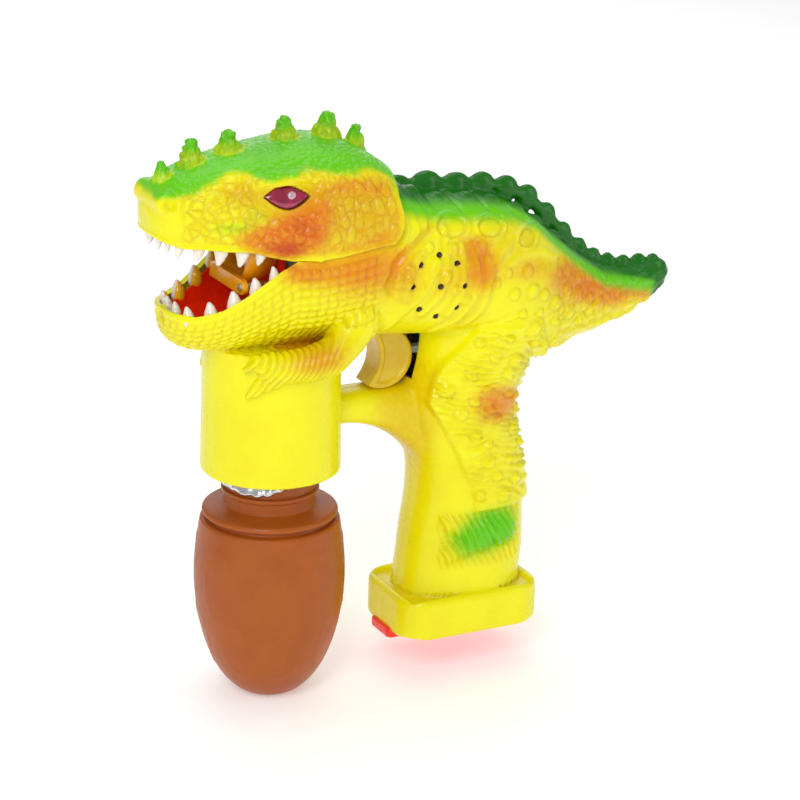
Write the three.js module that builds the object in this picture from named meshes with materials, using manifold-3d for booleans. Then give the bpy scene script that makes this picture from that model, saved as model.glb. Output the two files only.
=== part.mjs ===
// A battery bubble machine shaped as a dinosaur: a hand-held blower whose mouth holds a bubble ring.
// Millimetres, +Z up. The nose points along -X and the tail along +X, and the toy is symmetric about Y = 0.
// Inside this file X is counted from the axis of the bottle collar; the whole group is then shifted so that
// the origin lies under the middle of the toy, level with the foot of the bottle.
import * as THREE from "three";
import { mergeVertices } from "three/addons/utils/BufferGeometryUtils.js";
import Module from "manifold-3d";

const wasm = await Module();
wasm.setup();

// ---------------------------------------------------------------- driving dimensions
const WALL = 2.2; // moulded wall of the shells
const GAP = 0.3; // gap between pieces that meet
const SEAM = GAP / 2; // each half shell stops this far from the middle plane

const NOSE_X = -53.5;
const TAIL_X = 180;
const AXIS_Z = 189; // ring, duct, fan and motor share this axis, along X

const COLLAR = { radius: 28, topRadius: 27.2, bottom: 96, top: 158 };
const SOCKET = { outer: COLLAR.topRadius - WALL - GAP, inner: 21.3, bottom: 98.5, plate: 123, top: 125 };
const NECK = { radius: 18.2, bore: 16.2, top: 103.5 };
const DIP = { radius: 2.4, inner: 1.2, foot: 22, top: 134 };

const PLINTH = { front: 51.5, back: 116, half: 23, bottom: 19, top: 34, corner: 13 };
const COVER = { bottom: 17.6, top: 20.4, shelf: 27.6, screwX: 60.5 };

const TRIGGER = { x: 46.5, z: 136.5, radius: 12.8, half: 6.2, pivotX: 49, pivotZ: 157, pull: 3.5 };
const FINGER = { x: 27.5, z: 137.5, radius: 17 }; // the hollow that a finger pulls on
const SWITCH = { front: 66.5, back: 77, half: 5.5, low: 132, high: 142 };
const WIPER = { y: -15.5, z: 177, front: -20.6, back: -18.6, shaft: 1.5, end: 64.5, reach: 29.5 };
const RING = { front: -17.2, back: -9.6, outer: 15.5, inner: 12.6 };
const DUCT = { front: -9.3, back: 34, small: 12.6, large: 15.9, wall: 1.2 };
const MOTOR = { front: 38, back: 63, radius: 10, shaft: 1, shaftFront: 20, shaftBack: 71 };
const FAN = { front: 22, radius: 15.2, hub: 3.5, depth: 7, vanes: 6 };
const GEAR = { module: 0.6, pinion: 12, wheel: 36, front: 66, face: 3 };
const PUMP_Z = AXIS_Z - (GEAR.module * (GEAR.pinion + GEAR.wheel)) / 2 - GAP;
const PUMP = { front: 70.5, back: 79, track: 11.1, tube: 9.5, hose: 1.3, rollerReach: 6.1, roller: 1.8 };
const SPEAKER = { x: 54, z: 172, radius: 12.5, front: -25.4, back: -21, magnet: 6 };
const CELL = { radius: 7.15, length: 50.2, foot: 29, x: 84, y: 7.3, thirdX: 96.9 };

// ---------------------------------------------------------------- colours and finishes
const plastic = (color, roughness) => new THREE.MeshStandardMaterial({ color, roughness, metalness: 0 });
const metal = (color, roughness) => new THREE.MeshStandardMaterial({ color, roughness, metalness: 1 });
const SHELL = plastic(0xe6dc10, 0.3);
const HEAD = plastic(0xb4d418, 0.3);
const EGG = plastic(0xa04a12, 0.45);
const RED = plastic(0xc81400, 0.4);
const ORANGE = plastic(0xffa800, 0.35);
const IVORY = plastic(0xf2ead0, 0.35);
const ORANGE_YELLOW = plastic(0xe8a800, 0.35);
const LENS = plastic(0xa00f50, 0.1);
const CLEAR = plastic(0xe8d8d0, 0.05);
const WHITE = plastic(0xe8e8e4, 0.5);
const BLACK = plastic(0x151515, 0.5);
const GREEN_BOARD = plastic(0x0a5a2a, 0.4);
const SILICONE = plastic(0xd8dad4, 0.3);
const FOIL = metal(0xd8d8dc, 0.25);
const STEEL = metal(0xb8b8bc, 0.3);

// ---------------------------------------------------------------- shape helpers

// A closed three.js geometry as a solid that can be joined and cut.
function solid(geometry) {
  const bare = geometry.index ? geometry.toNonIndexed() : geometry.clone();
  for (const name of Object.keys(bare.attributes)) if (name !== "position") bare.deleteAttribute(name);
  const merged = mergeVertices(bare, 1e-4);
  return new wasm.Manifold(
    new wasm.Mesh({
      numProp: 3,
      vertProperties: new Float32Array(merged.attributes.position.array),
      triVerts: new Uint32Array(merged.index.array),
    }),
  );
}

// A solid back as a three.js geometry.
function geometryOf(made) {
  const mesh = made.getMesh();
  return new THREE.BufferGeometry()
    .setAttribute("position", new THREE.BufferAttribute(new Float32Array(mesh.vertProperties), 3))
    .setIndex(new THREE.BufferAttribute(new Uint32Array(mesh.triVerts), 1));
}

const union = (...solids) => solids.reduce((sum, each) => sum.add(each));
const at = (geometry, x, y, z) => geometry.translate(x, y, z);
const block = (x0, x1, y0, y1, z0, z1) =>
  solid(at(new THREE.BoxGeometry(x1 - x0, y1 - y0, z1 - z0), (x0 + x1) / 2, (y0 + y1) / 2, (z0 + z1) / 2));

// Round bars along each axis, from one end to the other.
function bar(axis, radius, from, to, a, b, sides = 20, endRadius = radius) {
  const g = new THREE.CylinderGeometry(endRadius, radius, to - from, sides);
  const middle = (from + to) / 2;
  if (axis === "x") return solid(at(g.rotateZ(-Math.PI / 2), middle, a, b));
  if (axis === "y") return solid(at(g, a, middle, b));
  return solid(at(g.rotateX(Math.PI / 2), a, b, middle));
}

// A profile of [radius, height] turned about the Z axis, or about the X axis through y, z.
function turned(profile, sides, axis = "z", y = 0, z = 0) {
  const g = new THREE.LatheGeometry(profile.map(([r, h]) => new THREE.Vector2(r, h)), sides);
  if (axis === "x") return solid(at(g.rotateZ(-Math.PI / 2), 0, y, z));
  return solid(g.rotateX(Math.PI / 2));
}

// A smooth outline through points, as one closed shape.
function outline(points, steps = 0) {
  if (!steps) return new THREE.Shape(points.map(([x, z]) => new THREE.Vector2(x, z)));
  const curve = new THREE.CatmullRomCurve3(points.map(([x, z]) => new THREE.Vector3(x, z, 0)), true);
  return new THREE.Shape(curve.getPoints(steps).slice(0, -1).map((p) => new THREE.Vector2(p.x, p.y)));
}

// An outline in X and Z, made as thick as twice half across Y and centred on y.
function slab(shape, half, y = 0, bevel = 0) {
  const g = new THREE.ExtrudeGeometry(shape, {
    depth: 2 * (half - bevel),
    bevelEnabled: bevel > 0,
    bevelSize: bevel,
    bevelThickness: bevel,
    bevelOffset: -bevel,
    bevelSegments: 1,
    curveSegments: 10,
  });
  return solid(at(g.rotateX(Math.PI / 2), 0, y + half - bevel, 0));
}

// A rounded rectangle in X and Y between two heights.
function pad(x0, x1, half, corner, z0, z1, bevel = 0) {
  const s = new THREE.Shape();
  s.moveTo(x0 + corner, -half);
  s.lineTo(x1 - corner, -half);
  s.absarc(x1 - corner, -half + corner, corner, -Math.PI / 2, 0);
  s.lineTo(x1, half - corner);
  s.absarc(x1 - corner, half - corner, corner, 0, Math.PI / 2);
  s.lineTo(x0 + corner, half);
  s.absarc(x0 + corner, half - corner, corner, Math.PI / 2, Math.PI);
  s.lineTo(x0, -half + corner);
  s.absarc(x0 + corner, -half + corner, corner, Math.PI, 1.5 * Math.PI);
  const g = new THREE.ExtrudeGeometry(s, {
    depth: z1 - z0 - 2 * bevel,
    bevelEnabled: bevel > 0,
    bevelSize: bevel,
    bevelThickness: bevel,
    bevelOffset: -bevel,
    bevelSegments: 1,
    curveSegments: 4,
  });
  return solid(at(g, 0, 0, z0 + bevel));
}

// A skin over cross-sections. Each section is [place, low, high, half, waist]: where it stands on the axis,
// its lowest and highest edge, half its width in Y and where it is widest. Power 2 is an ellipse, more is boxier.
function loft(sections, axis, power, around) {
  const rows = sections.length - 1;
  const g = new THREE.CylinderGeometry(1, 1, 1, around, rows);
  const p = g.attributes.position;
  const squash = (v) => Math.sign(v) * Math.abs(v) ** (2 / power);
  for (let i = 0; i < p.count; i++) {
    const [place, low, high, half, waist = (low + high) / 2] = sections[Math.round((0.5 - p.getY(i)) * rows)];
    const side = squash(p.getX(i)) * half;
    const rise = squash(p.getZ(i));
    const across = waist + rise * (rise > 0 ? high - waist : waist - low);
    if (axis === "x") p.setXYZ(i, place, side, across);
    else p.setXYZ(i, across, side, place);
  }
  const made = solid(g);
  return made.volume() > 0 ? made : solid(flipped(g));
}

// The same faces seen from the other side.
function flipped(g) {
  const index = g.index.array;
  for (let i = 0; i < index.length; i += 3) [index[i + 1], index[i + 2]] = [index[i + 2], index[i + 1]];
  return g;
}

// The sections of a skin set in by a wall.
const inset = (sections, wall) =>
  sections.map(([place, low, high, half, waist = (low + high) / 2]) => [
    place,
    Math.min(low + wall, waist - 0.5),
    Math.max(high - wall, waist + 0.5),
    Math.max(half - wall, 0.8),
    waist,
  ]);

// A pointed or rounded cone from foot to tip, round or flattened in Y.
function spike(foot, tip, radius, tipRadius, flat = 1, sides = 8) {
  const a = new THREE.Vector3(...foot);
  const b = new THREE.Vector3(...tip);
  const g = new THREE.CylinderGeometry(tipRadius, radius, a.distanceTo(b), sides);
  g.rotateY(Math.PI / sides).scale(1, 1, flat);
  const turn = new THREE.Quaternion().setFromUnitVectors(new THREE.Vector3(0, 1, 0), b.clone().sub(a).normalize());
  g.applyQuaternion(turn);
  return solid(at(g, ...a.add(b).multiplyScalar(0.5).toArray()));
}

// A ball stretched along each axis.
const ball = (x, y, z, rx, ry, rz, detail = 12) =>
  solid(at(new THREE.SphereGeometry(1, detail, detail / 2).scale(rx, ry, rz), x, y, z));

// A tube of round section that follows points.
function tube(points, radius, sides = 8, steps = 40) {
  const section = new THREE.Shape(
    new THREE.EllipseCurve(0, 0, radius, radius).getPoints(sides).slice(0, -1),
  );
  const path = new THREE.CatmullRomCurve3(points.map((p) => new THREE.Vector3(...p)), false, "centripetal");
  return solid(new THREE.ExtrudeGeometry(section, { steps, extrudePath: path, curveSegments: 1 }));
}

const mirrored = (make) => [-1, 1].map(make);
const toy = new THREE.Group();
toy.position.x = -(NOSE_X + TAIL_X) / 2;

function add(name, made, material, group = toy) {
  const mesh = new THREE.Mesh(geometryOf(made.simplify(0.06)), material);
  mesh.name = name;
  group.add(mesh);
  return mesh;
}

// ---------------------------------------------------------------- outer forms

// Jaw, chest, back and tail along X.
const BODY = [
  [-46.6, 160, 177, 4, 168],
  [-45.4, 157, 181, 8.5, 168],
  [-42, 153.5, 185, 13.5, 169],
  [-36, 151, 190, 17.8, 170],
  [-28, 150, 194, 21, 172],
  [-18, 149.5, 198, 24, 175],
  [-6, 149, 203, 26.5, 178],
  [8, 149, 208, 29, 180],
  [22, 149, 211, 31, 180],
  [36, 148.5, 212, 32.2, 178],
  [46, 147.5, 208, 33, 177],
  [58, 146.5, 204, 34, 175],
  [74, 145.5, 203, 34.5, 172],
  [90, 138, 200, 34, 166],
  [106, 128, 193, 31, 160],
  [120, 125.5, 183, 26, 155],
  [132, 132, 172.5, 20, 152],
  [146, 136, 164.5, 14.5, 150],
  [160, 140.5, 160.5, 10.5, 151],
  [172, 147, 161, 7.5, 154],
  [178.6, 152, 160.5, 4.5, 156.5],
  [TAIL_X, 155, 159, 2, 157],
];

// The grip along Z: place, front, back, half width.
const GRIP = [
  [24, 66, 111, 18],
  [46, 64, 114, 18.8],
  [60, 65, 113.5, 18.8],
  [75, 65, 112.5, 19.2],
  [88, 62.5, 110, 19.6],
  [98, 58.5, 107.5, 20],
  [110, 56, 105, 21],
  [122, 57, 106, 23],
  [135, 60, 112, 26],
  [150, 62, 116, 28],
  [160, 64, 114, 27],
];

// The upper head along X, from the nose to the edge behind the cheeks.
const SKULL = [
  [NOSE_X, 200, 213, 6.5, 206],
  [-52, 196, 216, 11, 205],
  [-47, 190, 218.5, 16, 204],
  [-38, 188, 221, 19.4, 203],
  [-28, 186, 223, 21.6, 202],
  [-16, 184, 225, 24.6, 201],
  [-4, 182, 226.5, 27.6, 200],
  [10, 182, 227.5, 30.6, 199],
  [24, 182, 225.5, 32.6, 198],
  [35, 182, 221.5, 34, 197],
  [44, 184, 216, 34.2, 196],
  [50, 186, 212, 33, 196],
];

// The lower edge of the upper jaw and cheek, then up behind the cheek.
const LIP = [
  [-60, 201],
  [-51, 197.4],
  [-45, 195.4],
  [-38, 194.8],
  [-28, 193.4],
  [-19, 192.6],
  [-12, 190.4],
  [-4, 188.4],
  [6, 188],
  [15, 189],
  [25, 191],
  [33, 192.8],
  [37.6, 195],
  [39.6, 199],
  [39.8, 204],
  [39, 210],
  [40.5, 215],
  [44.5, 218.5],
];
// The rim of the lower jaw, from its front to the corner of the mouth.
const JAW = [
  [-60, 168],
  [-46, 168],
  [-39, 167.6],
  [-30, 170.2],
  [-22, 175],
  [-15, 180],
  [-8, 184.8],
  [-2, 187.4],
];

// The bony nubs along the middle of the head: foot x, foot z, tip x, tip z, foot radius.
const NUBS = [
  [-46, 214, -47.2, 222.6, 4.6],
  [-34, 219, -35, 228.4, 5.2],
  [-18, 221, -19, 231.6, 6.2],
  [4.5, 223.5, 4, 233.6, 6.6],
  [20.5, 223, 21.5, 235, 6.8],
  [33.5, 219, 35.5, 228.6, 4.6],
];
// The crest along the back and tail: foot x, foot z, tip x, tip z, foot radius.
const CREST = [
  [52, 203, 50.5, 208.6, 6],
  [65, 202, 66, 210.2, 6.6],
  [77.5, 201.5, 78.5, 208.8, 6],
  [89.5, 199.5, 91, 207.2, 6.6],
  [101.5, 195.5, 103.5, 204.6, 6.2],
  [111.5, 189, 114.5, 198.2, 5.4],
  [121, 180.5, 125, 188.6, 4.8],
  [129.5, 173.5, 133, 180, 4.2],
  [138, 168, 141, 173.6, 3.8],
  [147, 163, 149.5, 168.2, 3.4],
  [156, 160, 158.5, 165, 3.2],
  [164.5, 159.5, 166.5, 164.6, 3],
];

// Everything above the lip line, grown downwards by a gap where a neighbour has to stay clear of it.
function aboveLip(drop) {
  const edge = new THREE.SplineCurve(LIP.map(([x, z]) => new THREE.Vector2(x + drop, z - drop)));
  const points = edge.getPoints(26).map((p) => [p.x, p.y]);
  return slab(outline([...points, [44.5 + drop, 250], [-60, 250]]), 50);
}

// Everything above the rim of the lower jaw, or a drop below it, in front of the corner of the mouth.
function aboveJaw(drop) {
  const edge = new THREE.SplineCurve(JAW.map(([x, z]) => new THREE.Vector2(x, z - drop)));
  const points = edge.getPoints(14).map((p) => [p.x, p.y]);
  return slab(outline([...points, [-2, 250], [-60, 250]]), 50);
}

// The bridge under the trigger that joins the collar to the grip.
const BRIDGE = [
  [20, 124.6],
  [64, 124.6],
  [64, 150],
  [78, 150],
  [78, 84],
  [66.5, 82],
  [63.5, 90],
  [58, 97.5],
  [50, 104],
  [41, 108.6],
  [20, 110.4],
];
const BRIDGE_INSIDE = [
  [27, 122.2],
  [61.5, 122.2],
  [61.5, 150],
  [76, 150],
  [76, 88],
  [68, 89],
  [60.5, 98.8],
  [51.5, 106.2],
  [42, 110.9],
  [27, 112.8],
];

// A short front leg folded against the collar, with two claws.
function frontLeg(side) {
  const y = side * 23.5;
  return union(
    ball(21, y, 156, 10, 8, 9.5, 8),
    spike([19, y, 154], [-14, side * 24.5, 146.5], 8.2, 6.6, 0.8, 8),
    ball(-13, side * 24, 146, 7.4, 6, 7, 8),
    spike([-14, side * 25, 149], [-27.5, side * 20, 147.4], 3.6, 0.7, 0.9, 6),
    spike([-14, side * 25, 142.5], [-23.5, side * 22.5, 135.6], 3.8, 0.7, 0.9, 6),
  );
}

// A hind leg laid along the grip: thigh, shin and a foot with toes.
function hindLeg(side) {
  const toes = [62.5, 55.5].map((z, i) =>
    spike([88, side * 16.5, z], [71 + i, side * 18.5, z - 1], 4.4, 2.2, 0.9, 6),
  );
  return union(
    ball(97, side * 19, 154, 23, 16.5, 33, 12),
    spike([95, side * 15, 128], [93, side * 14.5, 64], 15, 12.5, 0.5, 10),
    ball(95, side * 15.5, 57, 13, 6, 10, 8),
    ...toes,
  );
}

const bodyOuter = loft(BODY, "x", 2.3, 18);
const gripOuter = loft(GRIP, "z", 2.7, 18);
const collarOuter = bar("z", COLLAR.radius, COLLAR.bottom, COLLAR.top, 0, 0, 28, COLLAR.topRadius);
const plinthOuter = pad(PLINTH.front, PLINTH.back, PLINTH.half, PLINTH.corner, PLINTH.bottom, PLINTH.top, 1.5);
const crestOuter = union(
  ...CREST.map(([x, z, tipX, tipZ, r]) => spike([x, 0, z - 3], [tipX, 0, tipZ], r * 1.15, r * 0.34, 0.85, 6)),
);
const shellOuter = union(
  bodyOuter,
  gripOuter,
  collarOuter,
  plinthOuter,
  crestOuter,
  slab(outline(BRIDGE), 9.6, 0, 2.4),
  ...mirrored(frontLeg),
  ...mirrored(hindLeg),
);
const shellInner = union(
  loft(inset(BODY.slice(1, -2), WALL), "x", 2.3, 12),
  loft(inset(GRIP.slice(0, -1), WALL), "z", 2.7, 12),
  loft(inset(GRIP.slice(-3), WALL), "z", 2.7, 12),
  bar("z", COLLAR.radius - WALL, COLLAR.bottom - 1, COLLAR.top, 0, 0, 24, COLLAR.topRadius - WALL),
  pad(PLINTH.front + WALL, PLINTH.back - WALL, PLINTH.half - WALL, PLINTH.corner - WALL, 10, PLINTH.top - WALL),
  slab(outline(BRIDGE_INSIDE), 7),
);

// ---------------------------------------------------------------- half shells

// Places of the screws that hold the halves together: x, z, and the wall's half width there.
const SCREWS = [
  [145, 151, 13.6],
  [118, 168, 24.5],
  [100, 182, 25],
  [106, 134, 26.5],
  [36, 117.4, 9.6],
  [24, 158, 23.5],
];
const BOSS = { radius: 3.4, pilot: 1.3, clear: 1.7, recess: 3, head: 2.6, shank: 1 };
const onCircle = (count, reach, i) => [
  reach * Math.cos((i * 2 * Math.PI) / count),
  reach * Math.sin((i * 2 * Math.PI) / count),
];
const SPEAKER_HOLES = [[0, 0], ...Array.from({ length: 8 }, (_, i) => onCircle(8, 12, i))];

// The lower teeth: x along the jaw rim and height of each tooth.
const LOWER_TEETH = [
  [-41.5, 7, 2.3],
  [-34, 7.4, 2.6],
  [-26.5, 7.2, 2.6],
  [-19.5, 6.4, 2.3],
  [-13.5, 5, 2],
];
// The value in a column of a table at x, on a straight line between the rows on either side of it.
function along(table, x, column) {
  const i = table.findIndex(([place]) => place > x);
  const [a, b] = [table[i - 1], table[i]];
  return a[column] + ((x - a[0]) / (b[0] - a[0])) * (b[column] - a[column]);
}
const HALF_COLUMN = 3; // the half width in a table of sections
// How far the skin of a table of sections stands from the middle plane at x, z.
function halfAt(table, x, z) {
  const [low, high, half, waist] = [1, 2, 3, 4].map((column) => along(table, x, column));
  const rise = Math.abs(z > waist ? (z - waist) / (high - waist) : (waist - z) / (waist - low));
  return half * (1 - Math.min(rise, 1) ** 2.3) ** (1 / 2.3);
}
const Z_COLUMN = 1; // the height in an edge line
const lowerTeeth = (side) =>
  LOWER_TEETH.map(([x, tall, r]) => {
    const y = side * (along(BODY, x, HALF_COLUMN) - 1.6);
    return spike([x, y, along(JAW, x, Z_COLUMN) - 1.4], [x - 0.6, y * 0.97, along(JAW, x, Z_COLUMN) + tall - 2], r, 0.5, 0.8, 5);
  });

// One half of the casing: side -1 is the toy's left, side 1 its right, where the screws go in.
function halfShell(side) {
  const [near, far] = side < 0 ? [-60, -SEAM] : [SEAM, 60];
  let half = shellOuter.subtract(shellInner);
  half = half.subtract(aboveLip(GAP)).subtract(aboveJaw(0));
  // Room for the trigger to be pulled back, and the slot it hangs through.
  for (const back of [0, TRIGGER.pull])
    half = half.subtract(bar("y", TRIGGER.radius + 0.5, -7, 7, TRIGGER.x + back, TRIGGER.z, 28));
  half = half.subtract(block(40, 68, -7, 7, 124.6, 156));
  if (side < 0)
    for (const [dx, dz] of SPEAKER_HOLES)
      half = half.subtract(bar("y", 1.1, -45, -24, SPEAKER.x + dx, SPEAKER.z + dz, 8));
  half = half.add(bar("z", 3.8, COVER.top + GAP, PLINTH.top - 1, COVER.screwX, 0, 12));
  half = half.subtract(bar("z", BOSS.pilot, COVER.top, PLINTH.top - 3, COVER.screwX, 0, 10));
  for (const [x, z, wall] of SCREWS) {
    half = half.add(bar("y", BOSS.radius, Math.min(0, side * wall), Math.max(0, side * wall), x, z, 12));
    half = half.subtract(bar("y", side > 0 ? BOSS.clear : BOSS.pilot, -8, 60, x, z, 8));
    if (side > 0) half = half.subtract(bar("y", BOSS.recess, wall * 0.62, 60, x, z, 12));
  }
  half = half.intersect(block(-80, 220, near, far, 0, 260));
  return union(largest(half), ...lowerTeeth(side));
}

const largest = (made) => made.decompose().reduce((best, each) => (each.volume() > best.volume() ? each : best));

function shellScrew(index) {
  const [x, z, wall] = SCREWS[index];
  const seat = wall * 0.62 + GAP;
  const head = bar("y", BOSS.head, seat, seat + 1.8, x, z, 12);
  const cross = block(x - 1.8, x + 1.8, seat + 1, seat + 3, z - 0.4, z + 0.4);
  return head.add(bar("y", BOSS.shank, -6.5, seat + 0.5, x, z, 8)).subtract(cross);
}

add("left_shell", halfShell(-1), SHELL);
add("right_shell", halfShell(1), SHELL);
SCREWS.forEach((_, i) => add(`shell_screw_${i + 1}`, shellScrew(i), STEEL));

// ---------------------------------------------------------------- head

const EYE = { x: -7, y: 19.6, z: 214, long: 9.2, deep: 6.4, tall: 4.6 };
const UPPER_TEETH = [
  [-44.6, 7, 1.9],
  [-38.5, 8, 2.5],
  [-30, 8.6, 2.8],
  [-22.6, 8, 2.6],
  [-16.2, 6, 2],
];

const skullInner = loft(inset(SKULL, WALL), "x", 2.3, 14).intersect(block(NOSE_X + WALL, 60, -50, 50, 150, 250));
function headCover() {
  const brows = mirrored((side) => spike([-30, side * 16, 216.5], [6, side * 25, 219.5], 3.4, 5, 0.8, 8));
  const nubs = NUBS.map(([x, z, tipX, tipZ, r]) => spike([x, 0, z - 4], [tipX, 0, tipZ], r * 1.2, r * 0.3, 0.9, 6));
  let cover = union(loft(SKULL, "x", 2.3, 20), ...brows, ...nubs);
  cover = cover.subtract(skullInner).intersect(aboveLip(0));
  for (const side of [-1, 1]) cover = cover.subtract(eye(side, GAP));
  return cover.subtract(block(48.3, 60, -40, 40, 150, 250));
}

const eye = (side, grow) =>
  ball(EYE.x, side * EYE.y, EYE.z, EYE.long + grow, EYE.deep + grow, EYE.tall + grow, 16);

function eyeLamp(side) {
  const front = side * 12.2;
  return bar("y", 2.4, Math.min(front, side * 7), Math.max(front, side * 7), EYE.x, EYE.z, 12);
}

function upperTeeth() {
  const outer = loft(inset(SKULL, WALL + 0.7).slice(0, 7), "x", 2.3, 14);
  const inner = loft(inset(SKULL, WALL + 2).slice(0, 7), "x", 2.3, 14);
  const strip = outer.subtract(inner).intersect(aboveLip(-1)).subtract(aboveLip(-7));
  const band = strip.intersect(block(-47.4, -10, -40, 40, 180, 210));
  const teeth = mirrored((side) =>
    UPPER_TEETH.map(([x, tall, r]) => {
      const lip = along(LIP, x, Z_COLUMN);
      const y = side * (halfAt(SKULL, x, lip) - WALL - r * 0.8 - 0.9);
      return spike([x, y, lip + 3.5], [x + 0.5, y, lip + 1.4 - tall], r, 0.5, 0.8, 5);
    }),
  ).flat();
  const front = [-4.6, 0, 4.6].map((y) => spike([-46.2, y, 200.5], [-48.6, y, 190.6], 1.9, 0.6, 0.9, 5));
  const bridge = block(-47, -45, -10, 10, 198, 200.5);
  return largest(union(band, bridge, ...teeth, ...front));
}

add("head_cover", headCover(), HEAD);
add("upper_teeth", upperTeeth(), IVORY);
for (const [name, side] of [["left", -1], ["right", 1]]) {
  add(`${name}_eye_lens`, eye(side, 0).subtract(block(-30, 20, -13.4, 13.4, 200, 230)), LENS);
  add(`${name}_eye_lamp`, eyeLamp(side), CLEAR);
}

// ---------------------------------------------------------------- mouth, ring and wiper

function mouthLining() {
  const jaw = BODY.slice(1, 9);
  const tray = loft(inset(jaw, WALL + 2 * GAP), "x", 2.3, 12).subtract(loft(inset(jaw, WALL + 2), "x", 2.3, 12));
  const wall = loft([[-4.4, 152, 208, 18.4, 182], [-3, 152, 208, 18.4, 182]], "x", 2.3, 20);
  const lining = tray.subtract(aboveJaw(3)).intersect(block(-43.5, -3, -40, 40, 150, 186)).add(wall);
  const throat = bar("x", DUCT.small + DUCT.wall + GAP, -10, 0, 0, AXIS_Z, 24);
  const shaftWay = bar("x", WIPER.shaft + GAP, -10, 0, WIPER.y, WIPER.z, 10);
  const hoseWay = bar("x", PUMP.hose + 1, -10, 0, -6.5, 165, 10);
  const drain = bar("z", 2, 145, 158, -12, 8, 10);
  return largest(lining.subtract(union(throat, shaftWay, hoseWay, drain)));
}

function bubbleRing() {
  const ring = turned(
    [
      [RING.inner, RING.front],
      [RING.outer - 1, RING.front],
      [RING.outer, RING.front + 1],
      [RING.outer, RING.back],
      [RING.inner, RING.back],
      [RING.inner, RING.front],
    ],
    28,
    "x",
    0,
    AXIS_Z,
  );
  const foot = block(-15, -11, -3, 3, 155.5, AXIS_Z - RING.inner - 1);
  return ring.add(foot);
}

function wiperArm() {
  const { y, z, front, back, reach } = WIPER;
  const arm = outline([[y, z - 3], [y + reach, z - 3.4], [y + reach - 1.5, z + 2.6], [y, z + 3]]);
  const plate = new THREE.ExtrudeGeometry(arm, { depth: back - front, bevelEnabled: false });
  // The outline is drawn in Y and Z, so its X becomes Y, its Y becomes Z and its depth becomes X.
  plate.applyMatrix4(new THREE.Matrix4().set(0, 0, 1, front, 1, 0, 0, 0, 0, 1, 0, 0, 0, 0, 0, 1));
  const boss = bar("x", 3, front, back, y, z, 14);
  return union(solid(plate), boss).subtract(bar("x", WIPER.shaft + 0.1, -30, 0, y, z, 10));
}

const wiperShaft = () => bar("x", WIPER.shaft, WIPER.front - 0.8, WIPER.end, WIPER.y, WIPER.z, 10);

// The lever at the back of the wiper's shaft, moved by the cam on the pump wheel.
function wiperCrank() {
  const { y, z, end } = WIPER;
  const lever = spike([end - 1, y, z], [end - 1, y + 3.4, z - 6.4], 1.6, 1.2, 1, 8);
  return union(lever, bar("x", 2.6, end - 2.4, end, y, z, 12)).subtract(
    bar("x", WIPER.shaft + 0.1, end - 8, end + 2, y, z, 10),
  );
}

add("mouth_lining", mouthLining(), RED);
add("bubble_ring", bubbleRing(), ORANGE);
add("wiper_arm", wiperArm(), ORANGE);
add("wiper_shaft", wiperShaft(), STEEL);
add("wiper_crank", wiperCrank(), WHITE);

// ---------------------------------------------------------------- fan, motor and pump

// The blower's scroll and throat, open at the front to the ring and at the back for the air it takes in.
function fanHousing() {
  const { front, back, small, large, wall } = DUCT;
  const flare = [0, 12];
  const shell = turned(
    [
      [small, front],
      [small + wall, front],
      [small + wall, flare[0]],
      [large + wall, flare[1]],
      [large + wall, back],
      [5.5, back],
      [5.5, back - wall],
      [large, back - wall],
      [large, flare[1]],
      [small, flare[0]],
      [small, front],
    ],
    24,
    "x",
    0,
    AXIS_Z,
  );
  return shell;
}

function fanWheel() {
  const { front, radius, hub, depth, vanes } = FAN;
  const back = front + depth;
  const disc = bar("x", radius, back - 1, back, 0, AXIS_Z, 24);
  const centre = bar("x", hub, front, back, 0, AXIS_Z, 14);
  const blades = Array.from({ length: vanes }, (_, i) => {
    const blade = new THREE.BoxGeometry(depth, 1, radius - hub + 1);
    blade.translate(front + depth / 2, 0, (radius + hub - 1) / 2);
    return solid(at(blade.rotateX((i * 2 * Math.PI) / vanes), 0, 0, AXIS_Z));
  });
  return union(disc, centre, ...blades).subtract(bar("x", MOTOR.shaft + 0.1, 0, 50, 0, AXIS_Z, 10));
}

function motorCan() {
  const { front, back, radius, shaft } = MOTOR;
  const can = union(bar("x", radius, front, back, 0, AXIS_Z, 20), bar("x", 3, front - 1.5, back + 1.2, 0, AXIS_Z, 12));
  return can.subtract(bar("x", shaft + GAP, 0, 90, 0, AXIS_Z, 10));
}

// A spur gear about X, with straight-sided teeth thinned for running clearance.
function gear(teeth, y, z, bore, turn = 0) {
  const { module, front, face } = GEAR;
  const pitch = (module * teeth) / 2;
  const quarter = Math.PI / teeth / 2;
  const shape = new THREE.Shape(
    Array.from({ length: teeth }, (_, i) => {
      const middle = turn + (i * 2 * Math.PI) / teeth;
      const place = (r, a) => new THREE.Vector2(r * Math.cos(middle + a), r * Math.sin(middle + a));
      return [
        place(pitch - 1.25 * module, -quarter * 1.5),
        place(pitch + 0.8 * module, -quarter * 0.45),
        place(pitch + 0.8 * module, quarter * 0.45),
        place(pitch - 1.25 * module, quarter * 1.5),
      ];
    }).flat(),
  );
  const g = new THREE.ExtrudeGeometry(shape, { depth: face, bevelEnabled: false });
  g.applyMatrix4(new THREE.Matrix4().set(0, 0, 1, front, 1, 0, 0, y, 0, 1, 0, z, 0, 0, 0, 1));
  return solid(g).subtract(bar("x", bore, 50, 90, y, z, 10));
}

const motorShaft = () => bar("x", MOTOR.shaft, MOTOR.shaftFront, MOTOR.shaftBack, 0, AXIS_Z, 10);
const motorPinion = () => gear(GEAR.pinion, 0, AXIS_Z, MOTOR.shaft + 0.1, -Math.PI / 2);

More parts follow.
